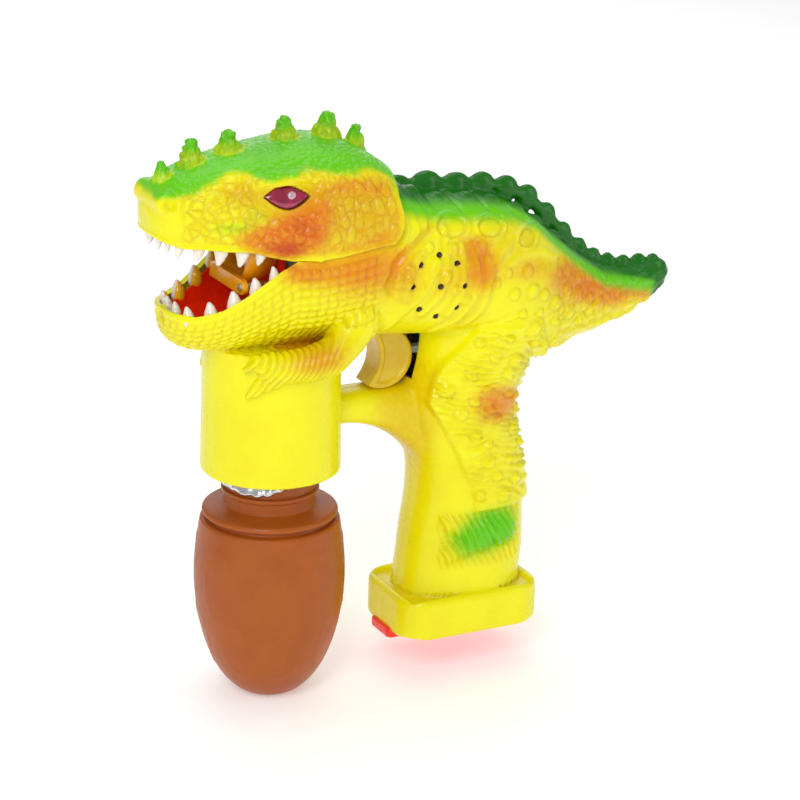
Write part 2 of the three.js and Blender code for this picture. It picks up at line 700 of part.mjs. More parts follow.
function pumpWheel() {
  const { front, face } = GEAR;
  const cam = bar("x", 3.6, front - 2.3, front, 0, PUMP_Z - 1.6, 14);
  const pins = [0, 1, 2].map((i) => rollerAt(i, 0.7, front + face - 0.5, PUMP.back - 3.6));
  return union(gear(GEAR.wheel, 0, PUMP_Z, 0.5, Math.PI / 2 + Math.PI / GEAR.wheel), cam, ...pins).subtract(
    bar("x", 1.35, 50, 90, 0, PUMP_Z, 10),
  );
}

function rollerAt(i, radius, from, to) {
  const a = (i * 2 * Math.PI) / 3;
  return bar("x", radius, from, to, PUMP.rollerReach * Math.sin(a), PUMP_Z + PUMP.rollerReach * Math.cos(a), 10);
}

const pumpRoller = (i) => rollerAt(i, PUMP.roller, PUMP.front, PUMP.back - 3.8).subtract(rollerAt(i, 0.9, 60, 90));

// The track that the hose is squeezed against, open at the bottom where the hose comes and goes.
function pumpHousing() {
  const { front, back, track } = PUMP;
  const cup = bar("x", track + 1.4, front, back, 0, PUMP_Z, 24).subtract(bar("x", track, front - 1, back - 2, 0, PUMP_Z, 24));
  const mouth = block(front - 1, back - 2, -track - 0.4, track + 0.4, PUMP_Z - 20, PUMP_Z - 4.5);
  return cup.subtract(mouth).subtract(bar("x", 1.2 + 0.15, 60, 90, 0, PUMP_Z, 10));
}

const pumpAxle = () => bar("x", 1.2, GEAR.front - 2, PUMP.back, 0, PUMP_Z, 10);

// The silicone hose: up from the dip tube, round the pump's track and forward to the ring.
function pumpHose() {
  const { tube: reach, front, back, hose } = PUMP;
  const x = (front + back - 3.8) / 2;
  const bend = [30, 0, -45, -90, -135, -180, -210].map((deg) => {
    const a = (-deg * Math.PI) / 180;
    return [x, reach * Math.cos(a), PUMP_Z + reach * Math.sin(a)];
  });
  const way = [
    [0, 0, DIP.top + 0.4],
    [0, 0, 141],
    [3, 9, 150],
    [12, 13, 165],
    [30, 14, 166],
    [52, 14, 163],
    [x - 4, 13, 161],
    ...bend,
    [x - 5, -10, 162],
    [52, -10.6, 163.5],
    [30, -11, 165.5],
    [8, -10, 167],
    [-1, -8, 166],
    [-5, -6, 165],
    [-9.5, -1, 168],
  ];
  return tube(way, hose, 5, 60);
}

const dipTube = () => bar("z", DIP.radius, DIP.foot, DIP.top, 0, 0, 14).subtract(bar("z", DIP.inner, 0, 200, 0, 0, 8));

add("fan_housing", fanHousing(), WHITE);
add("fan_wheel", fanWheel(), WHITE);
add("motor", motorCan(), STEEL);
add("motor_shaft", motorShaft(), STEEL);
add("motor_pinion", motorPinion(), WHITE);
add("pump_wheel", pumpWheel(), WHITE);
for (const i of [0, 1, 2]) add(`pump_roller_${i + 1}`, pumpRoller(i), STEEL);
add("pump_housing", pumpHousing(), WHITE);
add("pump_axle", pumpAxle(), STEEL);
add("pump_hose", pumpHose(), SILICONE);
add("dip_tube", dipTube(), SILICONE);

// ---------------------------------------------------------------- bottle and its socket

function neckSocket() {
  const { outer, inner, bottom, plate, top } = SOCKET;
  return turned(
    [
      [inner, bottom],
      [outer, bottom],
      [outer, top],
      [DIP.radius + GAP, top],
      [DIP.radius + GAP, plate],
      [inner, plate],
      [inner, bottom],
    ],
    28,
  );
}

const neckGasket = () =>
  turned([[13, 120.7], [20.8, 120.7], [20.8, SOCKET.plate - GAP], [13, SOCKET.plate - GAP], [13, 120.7]], 24);

// An egg-shaped bottle with a groove under its shoulder and a bead on its neck.
function bottle() {
  const outside = [
    [0, 0],
    [11, 0],
    [14.5, 1.2],
    [19.5, 5],
    [24.2, 12],
    [27.8, 22],
    [29.8, 34],
    [30.4, 46],
    [30, 58],
    [29.1, 68],
    [27.9, 74.4],
    [25.6, 75.4],
    [25.6, 76.6],
    [27, 77.4],
    [26.9, 79],
    [25.4, 80],
    [NECK.radius, 80],
    [NECK.radius, 86],
    [19.2, 87],
    [19.2, 88],
    [NECK.radius, 89],
    [NECK.radius, NECK.top],
  ];
  const inside = [
    [NECK.bore, NECK.top],
    [NECK.bore, 78],
    [23.8, 77.8],
    [23.8, 74],
    [26.4, 73],
    [27.5, 67],
    [28.4, 58],
    [28.8, 46],
    [28.2, 34],
    [26.2, 22.8],
    [22.8, 13],
    [18.5, 6.4],
    [14, 2.9],
    [10.6, 1.8],
    [0, 1.8],
  ];
  return turned([...outside, ...inside], 20);
}

// The torn foil that sealed the neck, pierced in the middle by the dip tube.
const foilSeal = () =>
  turned(
    [
      [5, NECK.top + GAP],
      [NECK.radius + GAP, NECK.top + GAP],
      [NECK.radius + GAP, 94],
      [19.6, 91.6],
      [20.2, 91.8],
      [19, 94.2],
      [19, NECK.top + 0.8],
      [5, NECK.top + 0.8],
      [5, NECK.top + GAP],
    ],
    28,
  );

add("neck_socket", neckSocket(), WHITE);
add("neck_gasket", neckGasket(), SILICONE);
add("bottle", bottle(), EGG);
add("foil_seal", foilSeal(), FOIL);

// ---------------------------------------------------------------- trigger and switch

function trigger() {
  const { x, z, radius, half, pivotX, pivotZ } = TRIGGER;
  const disc = new THREE.Shape(new THREE.EllipseCurve(x, z, radius, radius).getPoints(36).slice(0, -1));
  const hollow = bar("y", FINGER.radius, -20, 20, FINGER.x, FINGER.z, 40);
  const blade = slab(disc, half, 0, 1.2).subtract(hollow);
  const stem = slab(outline([[43.6, 146], [57, 146], [53, 158], [45.2, 158]]), half - 1.2);
  const eyelet = bar("y", 4, -half + 1.2, half - 1.2, pivotX, pivotZ, 16);
  // A shallow D-shaped panel sunk into each side.
  const panels = mirrored((side) => bar("y", radius - 3, side * half - 0.8, side * half + 0.8, x, z, 28)).map((p) =>
    p.subtract(bar("y", FINGER.radius + 3, -20, 20, FINGER.x, FINGER.z, 40)),
  );
  return union(blade, stem, eyelet).subtract(union(...panels)).subtract(bar("y", 1.65, -20, 20, pivotX, pivotZ, 12));
}

const triggerPin = () => bar("y", 1.4, -9.5, 9.5, TRIGGER.pivotX, TRIGGER.pivotZ, 12);

// A torsion spring coiled round the trigger's pin.
function triggerSpring() {
  const turns = 3;
  const coil = Array.from({ length: turns * 10 + 1 }, (_, i) => {
    const a = (i * 2 * Math.PI) / 10;
    return [TRIGGER.pivotX + 2.6 * Math.cos(a), 6 + (i * 2.8) / (turns * 10), TRIGGER.pivotZ + 2.6 * Math.sin(a)];
  });
  return tube(coil, 0.35, 4, 30);
}

function powerSwitch() {
  const { front, back, half, low, high } = SWITCH;
  const middle = (low + high) / 2;
  return block(front, back, -half, half, low, high).subtract(block(front - 1, back - 1.5, -2.3, 2.3, middle - 1.6, middle + 1.6));
}

function switchButton() {
  const middle = (SWITCH.low + SWITCH.high) / 2;
  return block(TRIGGER.x + TRIGGER.radius + 0.5, SWITCH.back - 5.4, -2, 2, middle - 1.3, middle + 1.3);
}

add("trigger", trigger(), ORANGE_YELLOW);
add("trigger_pin", triggerPin(), STEEL);
add("trigger_spring", triggerSpring(), STEEL);
add("power_switch", powerSwitch(), BLACK);
add("switch_button", switchButton(), WHITE);

// ---------------------------------------------------------------- electrics

const circuitBoard = () =>
  union(
    block(74, 96, 15, 16.6, 148, 170),
    block(78, 84, 13.2, 15.5, 152, 158),
    block(86, 90, 13.6, 15.5, 160, 166),
    bar("y", 2, 11.5, 15.5, 91, 153, 10),
  );

function speaker() {
  const { x, z, radius, front, back, magnet } = SPEAKER;
  const cone = bar("y", radius - 1.5, front - 1, front + 2, x, z, 20, radius - 5);
  return union(bar("y", radius, front, back, x, z, 20), bar("y", magnet, back - 0.5, back + 3, x, z, 16)).subtract(cone);
}

const CELLS = [
  [CELL.x, -CELL.y],
  [CELL.x, CELL.y],
  [CELL.thirdX, 0],
];

function cell(x, y) {
  const { radius, length, foot } = CELL;
  return union(
    bar("z", radius, foot, foot + length - 1.4, x, y, 20),
    bar("z", 2.6, foot + length - 1.5, foot + length, x, y, 12),
  );
}

// A coil that presses a cell down.
function contactSpring(x, y) {
  const turns = 3;
  const rise = 4.4;
  const coil = Array.from({ length: turns * 10 + 1 }, (_, i) => {
    const a = (i * 2 * Math.PI) / 10;
    const reach = 2.4 + (i * 1.8) / (turns * 10);
    return [x + reach * Math.cos(a), y + reach * Math.sin(a), CELL.foot + CELL.length + 0.8 + (i * rise) / (turns * 10)];
  });
  return tube(coil, 0.4, 4, 30);
}

// Three open tubes side by side under a cap, which hold the cells.
function batteryFrame() {
  const low = 38;
  const capLow = CELL.foot + CELL.length + 6.2;
  const capHigh = capLow + 1.6;
  const walls = union(...CELLS.map(([x, y]) => bar("z", CELL.radius + 0.9, low, capHigh, x, y, 14)));
  const bores = CELLS.map(([x, y]) => bar("z", CELL.radius + 0.25, low - 1, capLow, x, y, 14));
  return walls.subtract(union(...bores)).subtract(bar("z", 1.6, 70, 100, 88, 0, 8));
}

const wire = (points) => tube(points, 0.8, 5, 16);
const motorWire = () =>
  wire([[72, 6.5, 139], [78.5, 9, 144], [83, 10.4, 152], [83.5, 10.6, 165], [83, 10, 180], [79, 9, 190], [70, 8, 191.5], [64.6, 6, 190]]);
const batteryWire = () => wire([[88, 0, 88], [88, 4, 96], [84, 2, 112], [80.5, 0, 128], [78.4, 0, 137]]);

add("circuit_board", circuitBoard(), GREEN_BOARD);
add("speaker", speaker(), BLACK);
add("battery_frame", batteryFrame(), BLACK);
CELLS.forEach(([x, y], i) => add(`cell_${i + 1}`, cell(x, y), STEEL));
CELLS.forEach(([x, y], i) => add(`contact_spring_${i + 1}`, contactSpring(x, y), STEEL));
add("battery_wire", batteryWire(), RED);
add("motor_wire", motorWire(), RED);

// ---------------------------------------------------------------- battery cover

function batteryCover() {
  const { bottom, top, shelf, screwX } = COVER;
  const { front, back, half, corner } = PLINTH;
  const inset = WALL + GAP;
  const plate = pad(front + inset, back - inset, half - inset, corner - inset, bottom, top, 0.6);
  const shelfBlock = pad(74, 106, 15, 6, top - 0.5, shelf);
  const hole = union(bar("z", 1.6, 10, 30, screwX, 0, 10), bar("z", 3.2, 10, bottom + 1.5, screwX, 0, 16));
  return plate.add(shelfBlock).subtract(hole);
}

const cellPlate = () => pad(75, 105, 14, 5, COVER.shelf + GAP, COVER.shelf + 0.9);

function coverScrew() {
  const { bottom, screwX } = COVER;
  const cross = union(
    block(screwX - 1.8, screwX + 1.8, -0.4, 0.4, bottom - 1, bottom + 0.7),
    block(screwX - 0.4, screwX + 0.4, -1.8, 1.8, bottom - 1, bottom + 0.7),
  );
  return union(bar("z", 2.7, bottom - 0.2, bottom + 1.2, screwX, 0, 14), bar("z", 1, bottom + 1, 29, screwX, 0, 8)).subtract(cross);
}

add("battery_cover", batteryCover(), RED);
add("cell_plate", cellPlate(), STEEL);
add("cover_screw", coverScrew(), STEEL);

export default toy;
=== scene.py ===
"""A bubble blower shaped as a dinosaur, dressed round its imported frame.

Shapes are made in millimetres about the bottle's axis: X towards the tail, Y towards the toy's right side,
Z up from the foot of the bottle. Each finished piece is then scaled and moved onto the frame.
"""

import math

import bmesh
import bpy
import numpy as np
from mathutils import Matrix, Vector, noise


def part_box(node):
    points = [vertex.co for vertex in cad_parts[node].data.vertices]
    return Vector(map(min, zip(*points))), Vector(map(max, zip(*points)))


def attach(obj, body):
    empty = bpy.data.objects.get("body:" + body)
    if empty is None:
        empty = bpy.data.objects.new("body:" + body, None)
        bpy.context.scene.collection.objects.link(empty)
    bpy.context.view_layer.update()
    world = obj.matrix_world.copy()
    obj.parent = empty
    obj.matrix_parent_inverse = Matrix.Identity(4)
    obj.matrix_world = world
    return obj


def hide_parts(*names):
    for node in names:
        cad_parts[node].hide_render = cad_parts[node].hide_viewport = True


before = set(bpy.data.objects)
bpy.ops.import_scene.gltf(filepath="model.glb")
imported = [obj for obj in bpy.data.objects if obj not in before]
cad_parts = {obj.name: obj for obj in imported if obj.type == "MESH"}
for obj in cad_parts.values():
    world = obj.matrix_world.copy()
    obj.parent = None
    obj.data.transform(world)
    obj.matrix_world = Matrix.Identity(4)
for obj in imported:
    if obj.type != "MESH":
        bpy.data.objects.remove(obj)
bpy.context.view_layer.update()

MM = 0.001
COLLAR_TOP = 150
PLINTH_LOW, PLINTH_HIGH = (51.5, -23, 17.2), (116, 23, 34.6)
COVER_HOLE = (53.3, 114.2, 21.2)  # opening under the plinth: front, back, half width
TRIGGER_SLOT = (38, 66, 126.4, 6.9)  # front, back, foot, half width
TRIGGER_DISC, TRIGGER_RADIUS = (46.5, 136.5), 12.8
FINGER_PLACE, FINGER_RADIUS = (27.5, 137.5), 17
DEEP_RETURN = 6.5  # how far the head cover's back edge turns in over the neck
UNDER_COVER = 6  # how far the body runs in under the head cover's back edge
SKIN_GRAIN = 0.7  # mesh size on the body skin
HEAD_GRAIN = 0.5  # mesh size on the head cover
WALL = 2.0  # wall shown at open edges
SEAM = 0.12  # half of the gap between the two body halves
COLLAR_LOW, COLLAR_RADIUS, COLLAR_TOP_RADIUS = 96, 28, 27.2

low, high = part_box("neck_socket")
axis_place = Vector(((low.x + high.x) / 2, (low.y + high.y) / 2, 0))
ONTO_FRAME = Matrix.Translation(axis_place) @ Matrix.Scale(MM, 4)

# ---------------------------------------------------------------- the toy's lines
# body: place along X, underside, top, half width, height of the widest line
BODY = [
    [-46.6, 160, 177, 4, 168], [-45.4, 157, 181, 8.5, 168], [-42, 153.5, 185, 13.5, 169],
    [-36, 151, 190, 17.8, 170], [-28, 150, 194, 21, 172], [-18, 149.5, 198, 24, 175],
    [-6, 149, 203, 26.5, 178], [8, 149, 208, 29, 180], [22, 149, 214, 31.4, 182],
    [36, 148.5, 217.5, 32.4, 181], [46, 147.5, 211.5, 33.2, 179], [58, 146.5, 205, 34, 175],
    [74, 145.5, 203, 34.5, 172], [90, 138, 200, 34, 167], [106, 132, 193, 30, 163],
    [118, 130, 184, 24.5, 158], [132, 134.5, 172.5, 18.5, 154], [146, 136.5, 164.5, 13.8, 152],
    [160, 140.5, 161, 10.2, 152], [172, 147, 161, 7.5, 155], [178.6, 153, 160.6, 4.5, 157],
    [180, 155.5, 159, 2, 157.4],
]
# grip: height, front, back, half width, middle
GRIP = [
    [24, 57.6, 111, 19.4, 88], [38, 57.8, 112, 19.2, 88], [46, 58.8, 113, 19, 88], [60, 60.4, 113, 18.8, 88],
    [75, 62.8, 112.2, 19.2, 87], [88, 62.8, 110, 19.6, 86], [98, 60, 107.5, 20, 83],
    [110, 57, 105, 21, 80], [122, 57, 106, 23, 81], [135, 60, 110, 26, 86],
    [150, 62, 112, 28, 89], [160, 64, 112, 27, 89],
]
# trigger guard: place along X, underside, top, half width, middle
GUARD = [
    [18, 110.4, 124.4, 9.4, 117.4], [34, 110.2, 124.2, 9.4, 117.2], [44, 107, 124.2, 9.6, 116],
    [52, 102, 124.4, 10.2, 114], [59, 95.5, 125, 11.4, 111], [66, 86, 126, 13.5, 107],
    [74, 76, 128, 15.5, 102],
]
# head: place along X, underside, top, half width, height of the widest line
SKULL = [
    [-53.5, 201, 208, 5, 205], [-52, 195, 213.6, 10.5, 204.5], [-47, 180, 218.5, 16, 204],
    [-38, 176, 222.5, 19.6, 203], [-28, 174, 225.4, 22, 202], [-16, 172, 227.6, 24.8, 201],
    [-4, 170, 229.2, 27.6, 200], [10, 170, 230.2, 30.8, 199], [24, 170, 228.4, 32.8, 198],
    [35, 170, 223.6, 34, 197], [44, 170, 217, 34.2, 196], [50, 172, 213, 33, 196],
]
# lower edge of the head cover, as places along X and heights
LIP = [
    [-60, 201], [-51, 197.4], [-45, 195.4], [-38, 194.8], [-28, 193.4], [-19, 192.6], [-12, 190.4],
    [-4, 188.4], [6, 188], [15, 189], [25, 191], [31, 192.3], [50, 194],
]
# back edge of the head cover, as heights and places along X
COVER_BACK = [
    [170, 33], [190, 34], [193, 36.2], [196, 38.2], [199, 39.4], [204, 39.8], [210, 39],
    [215, 40.5], [218.5, 44.5], [230, 48],
]
JAW_RIM = [[-60, 168], [-46, 168], [-39, 167.6], [-30, 170.2], [-22, 175], [-15, 180], [-8, 184.8], [-2, 188]]
# knobs on the head: foot along X, foot height, tip along X, tip height, radius
NUBS = [
    [-45.6, 215.6, -46.9, 225.6, 4.6], [-34, 220.6, -34.5, 233, 6], [-18.6, 223.4, -19.2, 235, 6.8],
    [4.6, 226.6, 4.4, 238.2, 6.5], [21.6, 226, 22.4, 238.4, 6.7], [33.8, 222, 34.6, 232, 4.6],
]
# crest along the back: place along X, top, half length
CREST = [
    [53, 209.8, 6.8], [66, 210.2, 7], [79.2, 208.2, 6.9], [91, 207.2, 6.2], [102, 204.6, 6],
    [112, 199.8, 5.4], [121.2, 191.4, 4.9], [129.4, 182.4, 4.6], [137.2, 174.8, 4.4],
    [144.4, 169.8, 4.2], [151.6, 166.6, 4.2],
    [159, 164.9, 4.2], [166.6, 164.7, 4.2], [173.6, 163.8, 4],
]
EYE_PLACE, EYE_REACH, EYE_HEIGHT = (-6, 213.5), 8.5, 4.2
SPEAKER_HOLES = [
    (55.9, 185.8), (47.9, 182.7), (63.5, 181.7), (44.7, 174.2), (56.2, 173.3),
    (66.5, 172.6), (48.7, 164.1), (64.1, 163.6), (56.6, 160),
]


# ---------------------------------------------------------------- shaping helpers
def curve(table, places):
    """Smooth values of a table's columns at the given places in its first column."""
    table = np.array(table, float)
    at, values = table[:, 0], table[:, 1:]
    slope = np.gradient(values, at, axis=0)
    places = np.clip(np.asarray(places, float), at[0], at[-1])
    i = np.clip(np.searchsorted(at, places) - 1, 0, len(at) - 2)
    width = (at[i + 1] - at[i])[:, None]
    t = (places - at[i])[:, None] / width
    return (
        (1 + 2 * t) * (1 - t) ** 2 * values[i]
        + t * (1 - t) ** 2 * width * slope[i]
        + t * t * (3 - 2 * t) * values[i + 1]
        + t * t * (t - 1) * width * slope[i + 1]
    )


def line(table):
    """A function giving the height of a two-column table at any place."""
    at, values = np.array(table, float).T
    return lambda place: np.interp(place, at, values)


def step(value, start, end):
    """0 before start, 1 after end, smooth between."""
    t = np.clip((value - start) / (end - start), 0, 1)
    return t * t * (3 - 2 * t)


def loft(bm, table, axis, power=2.3, around=88, gap=1.4):
    """A closed skin through sections: place, low, high, half width, middle; axis 0 is X and 2 is Z."""
    places = np.arange(table[0][0], table[-1][0] + gap / 2, gap)
    places[-1] = table[-1][0]
    rows = len(places)
    grid = bmesh.ops.create_grid(bm, x_segments=around, y_segments=rows - 1, size=1)
    verts = grid["verts"]
    values = curve(table, places)
    for vert in verts:
        row = round((vert.co.y + 1) / 2 * (rows - 1))
        turn = (vert.co.x + 1) * math.pi
        lowest, highest, half, middle = values[row]
        rise = math.sin(turn)
        side = math.cos(turn)
        rise = math.copysign(abs(rise) ** (2 / power), rise)
        side = math.copysign(abs(side) ** (2 / power), side)
        reach = (highest - middle) if rise > 0 else (middle - lowest)
        across = middle + reach * rise
        if axis == 0:
            vert.co = (places[row], -half * side, across)
        else:
            vert.co = (across, half * side, places[row])
    bmesh.ops.remove_doubles(bm, verts=verts, dist=0.001)
    close_holes(bm)


def close_holes(bm):
    edges = [edge for edge in bm.edges if edge.is_boundary]
    if edges:
        bmesh.ops.holes_fill(bm, edges=edges, sides=0)


def ball(bm, centre, radii, detail=4):
    size = Matrix.Diagonal((*radii, 1))
    bmesh.ops.create_icosphere(bm, subdivisions=detail, radius=1, matrix=Matrix.Translation(centre) @ size)


def towards(start, end):
    """A matrix that puts a Z-aligned shape's middle between two points, along their line."""
    start, end = Vector(start), Vector(end)
    turn = (end - start).to_track_quat("Z", "Y").to_matrix().to_4x4()
    return Matrix.Translation((start + end) / 2) @ turn


def limb(bm, points, around=28):
    """Rounded links between points given as x, y, z, radius."""
    for point in points:
        ball(bm, point[:3], (point[3],) * 3, 3)
    for start, end in zip(points, points[1:]):
        depth = (Vector(end[:3]) - Vector(start[:3])).length
        bmesh.ops.create_cone(
            bm, cap_ends=True, segments=around, radius1=start[3], radius2=end[3], depth=depth,
            matrix=towards(start[:3], end[:3]),
        )


def both_sides(points):
    """The same points on the toy's other side."""
    return [[point[0], -point[1], *point[2:]] for point in points]


def spike(bm, foot, tip, radius, tip_radius):
    """A cone with a ball for its tip."""
    foot, tip = Vector(foot), Vector(tip)
    rise = (tip - foot).normalized()
    top = tip - rise * tip_radius
    turn = rise.to_track_quat("Z", "Y").to_matrix().to_4x4()
    bmesh.ops.create_cone(
        bm, cap_ends=True, segments=48, radius1=radius, radius2=tip_radius, depth=(top - foot).length,
        matrix=Matrix.Translation((foot + top) / 2) @ turn,
    )
    ball(bm, top, (tip_radius * 1.04,) * 3, 4)


def slab(bm, lowest, highest, round_by=0, segments=4, upright=None):
    """A block between two corners with rounded edges; upright rounds the four Z edges by more."""
    size = [b - a for a, b in zip(lowest, highest)]
    middle = [(a + b) / 2 for a, b in zip(lowest, highest)]
    made = bmesh.ops.create_cube(bm, size=1, matrix=Matrix.Translation(middle) @ Matrix.Diagonal((*size, 1)))
    verts = made["verts"]
    if upright:
        edges = {edge for vert in verts for edge in vert.link_edges}
        edges = [edge for edge in edges if abs(edge.verts[0].co.z - edge.verts[1].co.z) > 0.5 * size[2]]
        rounded = bmesh.ops.bevel(
            bm, geom=edges, affect="EDGES", offset=upright, segments=10, profile=0.5, material=-1
        )
        verts = list({vert for face in rounded["faces"] for vert in face.verts})
    if round_by:
        edges = {edge for vert in verts for edge in vert.link_edges if edge.calc_face_angle(0) > 0.7}
        bmesh.ops.bevel(
            bm, geom=list(edges), affect="EDGES", offset=round_by, segments=segments, profile=0.5, material=-1
        )


def drum(bm, centre, radius, top_radius, lowest, highest, around=96):
    """An upright round body."""
    bmesh.ops.create_cone(
        bm, cap_ends=True, segments=around, radius1=radius, radius2=top_radius, depth=highest - lowest,
        matrix=Matrix.Translation((centre[0], centre[1], (lowest + highest) / 2)),
    )


def turned(bm, profile, centre=(0, 0), around=128):
    """A profile of radius and height spun about the upright axis, closed at its ends."""
    verts = [bm.verts.new((radius, 0, height)) for radius, height in profile]
    edges = [bm.edges.new(pair) for pair in zip(verts, verts[1:])]
    made = bmesh.ops.spin(
        bm, geom=verts + edges, cent=(0, 0, 0), axis=(0, 0, 1), angle=math.tau, steps=around, use_merge=True
    )
    bmesh.ops.remove_doubles(bm, verts=bm.verts[:], dist=0.001)
    close_holes(bm)
    bmesh.ops.recalc_face_normals(bm, faces=bm.faces[:])
    bmesh.ops.translate(bm, verts=bm.verts[:], vec=(*centre, 0))
    return made


def piece(bm, name):
    """A new object holding the shape, still in millimetres."""
    mesh = bpy.data.meshes.new(name)
    bm.to_mesh(mesh)
    bm.free()
    made = bpy.data.objects.new(name, mesh)
    bpy.context.scene.collection.objects.link(made)
    return made


def applied(made):
    """Turns an object's modifiers into its mesh."""
    graph = bpy.context.evaluated_depsgraph_get()
    graph.update()
    mesh = bpy.data.meshes.new_from_object(made.evaluated_get(graph))
    made.modifiers.clear()
    made.data = mesh
    return made


def cast(bm, name, grain, passes):
    """One even skin round overlapping forms."""
    bmesh.ops.recalc_face_normals(bm, faces=bm.faces[:])
    made = piece(bm, name)
    even = made.modifiers.new("even", "REMESH")
    even.mode = "VOXEL"
    even.voxel_size = grain
    soft = made.modifiers.new("soft", "SMOOTH")
    soft.iterations = passes
    return applied(made)


def get_points(mesh):
    co = np.empty(len(mesh.vertices) * 3)
    mesh.vertices.foreach_get("co", co)
    return co.reshape(-1, 3)


def set_points(mesh, points):
    mesh.vertices.foreach_set("co", points.ravel())
    mesh.update()


def get_normals(mesh):
    normals = np.empty(len(mesh.vertices) * 3)
    mesh.vertex_normals.foreach_get("vector", normals)
    return normals.reshape(-1, 3)


def rebuilt(mesh, work):
    """Runs one bmesh job on a mesh."""
    bm = bmesh.new()
    bm.from_mesh(mesh)
    work(bm)
    bm.to_mesh(mesh)
    bm.free()
    mesh.update()


def slice_at(made, axis, wall, other=None):
    """Cuts faces where a coordinate crosses a wavy wall, given as a height over the other coordinate."""
    other = 2 - axis if other is None else other
    mesh = made.data
    points = get_points(mesh)
    points[:, axis] -= wall(points[:, other])
    set_points(mesh, points)
    normal = [0, 0, 0]
    normal[axis] = 1
    rebuilt(mesh, lambda bm: bmesh.ops.bisect_plane(
        bm, geom=bm.verts[:] + bm.edges[:] + bm.faces[:], plane_co=(0, 0, 0), plane_no=normal, dist=1e-4
    ))
    points = get_points(mesh)
    points[:, axis] += wall(points[:, other])
    set_points(mesh, points)


def drop_faces(made, unwanted):
    """Deletes the faces whose centres meet a rule."""
    mesh = made.data
    centres = np.empty(len(mesh.polygons) * 3)
    mesh.polygons.foreach_get("center", centres)
    gone = unwanted(*centres.reshape(-1, 3).T)

    def work(bm):
        bm.faces.ensure_lookup_table()
        bmesh.ops.delete(bm, geom=[bm.faces[i] for i in np.nonzero(gone)[0]], context="FACES")

    rebuilt(mesh, work)


def turn_in(made, depth=WALL, deeper=None):
    """Gives an open skin's edges a wall that runs inwards, and runs further where a rule says so."""

    def work(bm):
        bm.normal_update()
        edges = [edge for edge in bm.edges if edge.is_boundary]
        inward = {}
        for edge in edges:
            for vert in edge.verts:
                inward[vert.co.to_tuple(5)] = vert.normal.copy()
        grown = bmesh.ops.extrude_edge_only(bm, edges=edges)
        for part in grown["geom"]:
            if isinstance(part, bmesh.types.BMVert):
                reach = DEEP_RETURN if deeper and deeper(part.co) else depth
                part.co -= inward[part.co.to_tuple(5)] * reach

    rebuilt(made.data, work)


# ---------------------------------------------------------------- carving, airbrushing and painted shade
class Skin:
    """A dense mesh being carved, airbrushed and given painted shade; both sides are treated alike."""

    def __init__(self, made):
        self.made = made
        self.mesh = made.data
        self.refresh()

    def refresh(self):
        self.points = get_points(self.mesh)
        self.normals = get_normals(self.mesh)
        self.x, self.y, self.z = self.points.T
        self.side = np.abs(self.y)
        self.flat = np.stack([self.x, self.z], 1)

    def carve(self, height):
        """Moves the skin outwards by a height at each point."""
        set_points(self.mesh, self.points + self.normals * height[:, None])
        self.refresh()

    # stores a painted layer: airbrushed paint, or the painted shade of the hollows
    def paint_layer(self, name, amount):
        layer = self.mesh.attributes.new(name, "FLOAT", "POINT")
        layer.data.foreach_set("value", np.clip(amount, 0, 1).astype(np.float32))

    def off_spot(self, place):
        """Distance from a place in the side view."""
        return np.hypot(self.x - place[0], self.z - place[1])

    def off_line(self, places):
        """Distance from a run of places in the side view."""
        least = np.full(len(self.x), 1e3)
        for start, end in zip(places, places[1:]):
            start, end = np.array(start, float), np.array(end, float)
            along = end - start
            t = np.clip(((self.flat - start) @ along) / (along @ along), 0, 1)
            least = np.minimum(least, np.hypot(*(self.flat - start - t[:, None] * along).T))
        return least

    def within(self, outline):
        """Distance inside an outline in the side view, negative outside."""
        inside = np.zeros(len(self.x), bool)
        closed = [*outline, outline[0]]
        for (x0, z0), (x1, z1) in zip(closed, closed[1:]):
            if z0 != z1:
                crossing = (z0 > self.z) != (z1 > self.z)
                at = x0 + (self.z - z0) * (x1 - x0) / (z1 - z0)
                inside ^= crossing & (self.x < at)
        away = self.off_line(closed)
        return np.where(inside, away, -away)

    def bump(self, place, radius, height):
        """A round bump with a dimpled foot."""
        r = self.off_spot(place) / radius
        return height * np.sqrt(np.clip(1 - r * r, 0, 1)) - 0.25 * height * np.exp(-((r - 1.15) / 0.2) ** 2)

    def ridge(self, places, width, height):
        """A soft ridge along a run of places; a negative height is a groove."""
        return height * np.exp(-((self.off_line(places) / (width / 2)) ** 2))

    def cobbles(self, size, stretch=(1, 1, 1), where=None, bend=0.5):
        """Rounded irregular scales: 0 in the joints, 1 at their crowns."""
        crowns = np.zeros(len(self.x))
        chosen = np.nonzero(where)[0] if where is not None else range(len(self.x))
        scale = 1 / (np.array(stretch) * size)
        for i in chosen:
            spot = Vector(self.points[i] * scale)
            near = noise.voronoi(spot, distance_metric="DISTANCE")[0]
            crowns[i] = near[1] - near[0]
        return np.clip(crowns / bend, 0, 1) ** 0.6


def pillows(across, down):
    """Rows of rounded square scales from two running counts."""
    a = 2 * (across - np.floor(across)) - 1
    b = 2 * (down - np.floor(down)) - 1
    return np.sqrt(np.clip((1 - np.abs(a) ** 3) * (1 - np.abs(b) ** 3), 0, 1))


def wander(x, z, size=9):
    """A slow even wander, about -1 to 1."""
    return (
        0.5 * np.sin(x / size + 1.3 * np.sin(z / size)) + 0.3 * np.sin(z / size * 1.7 + x / size * 0.8)
        + 0.2 * np.sin(x / size * 2.9 - z / size * 2.1)
    )


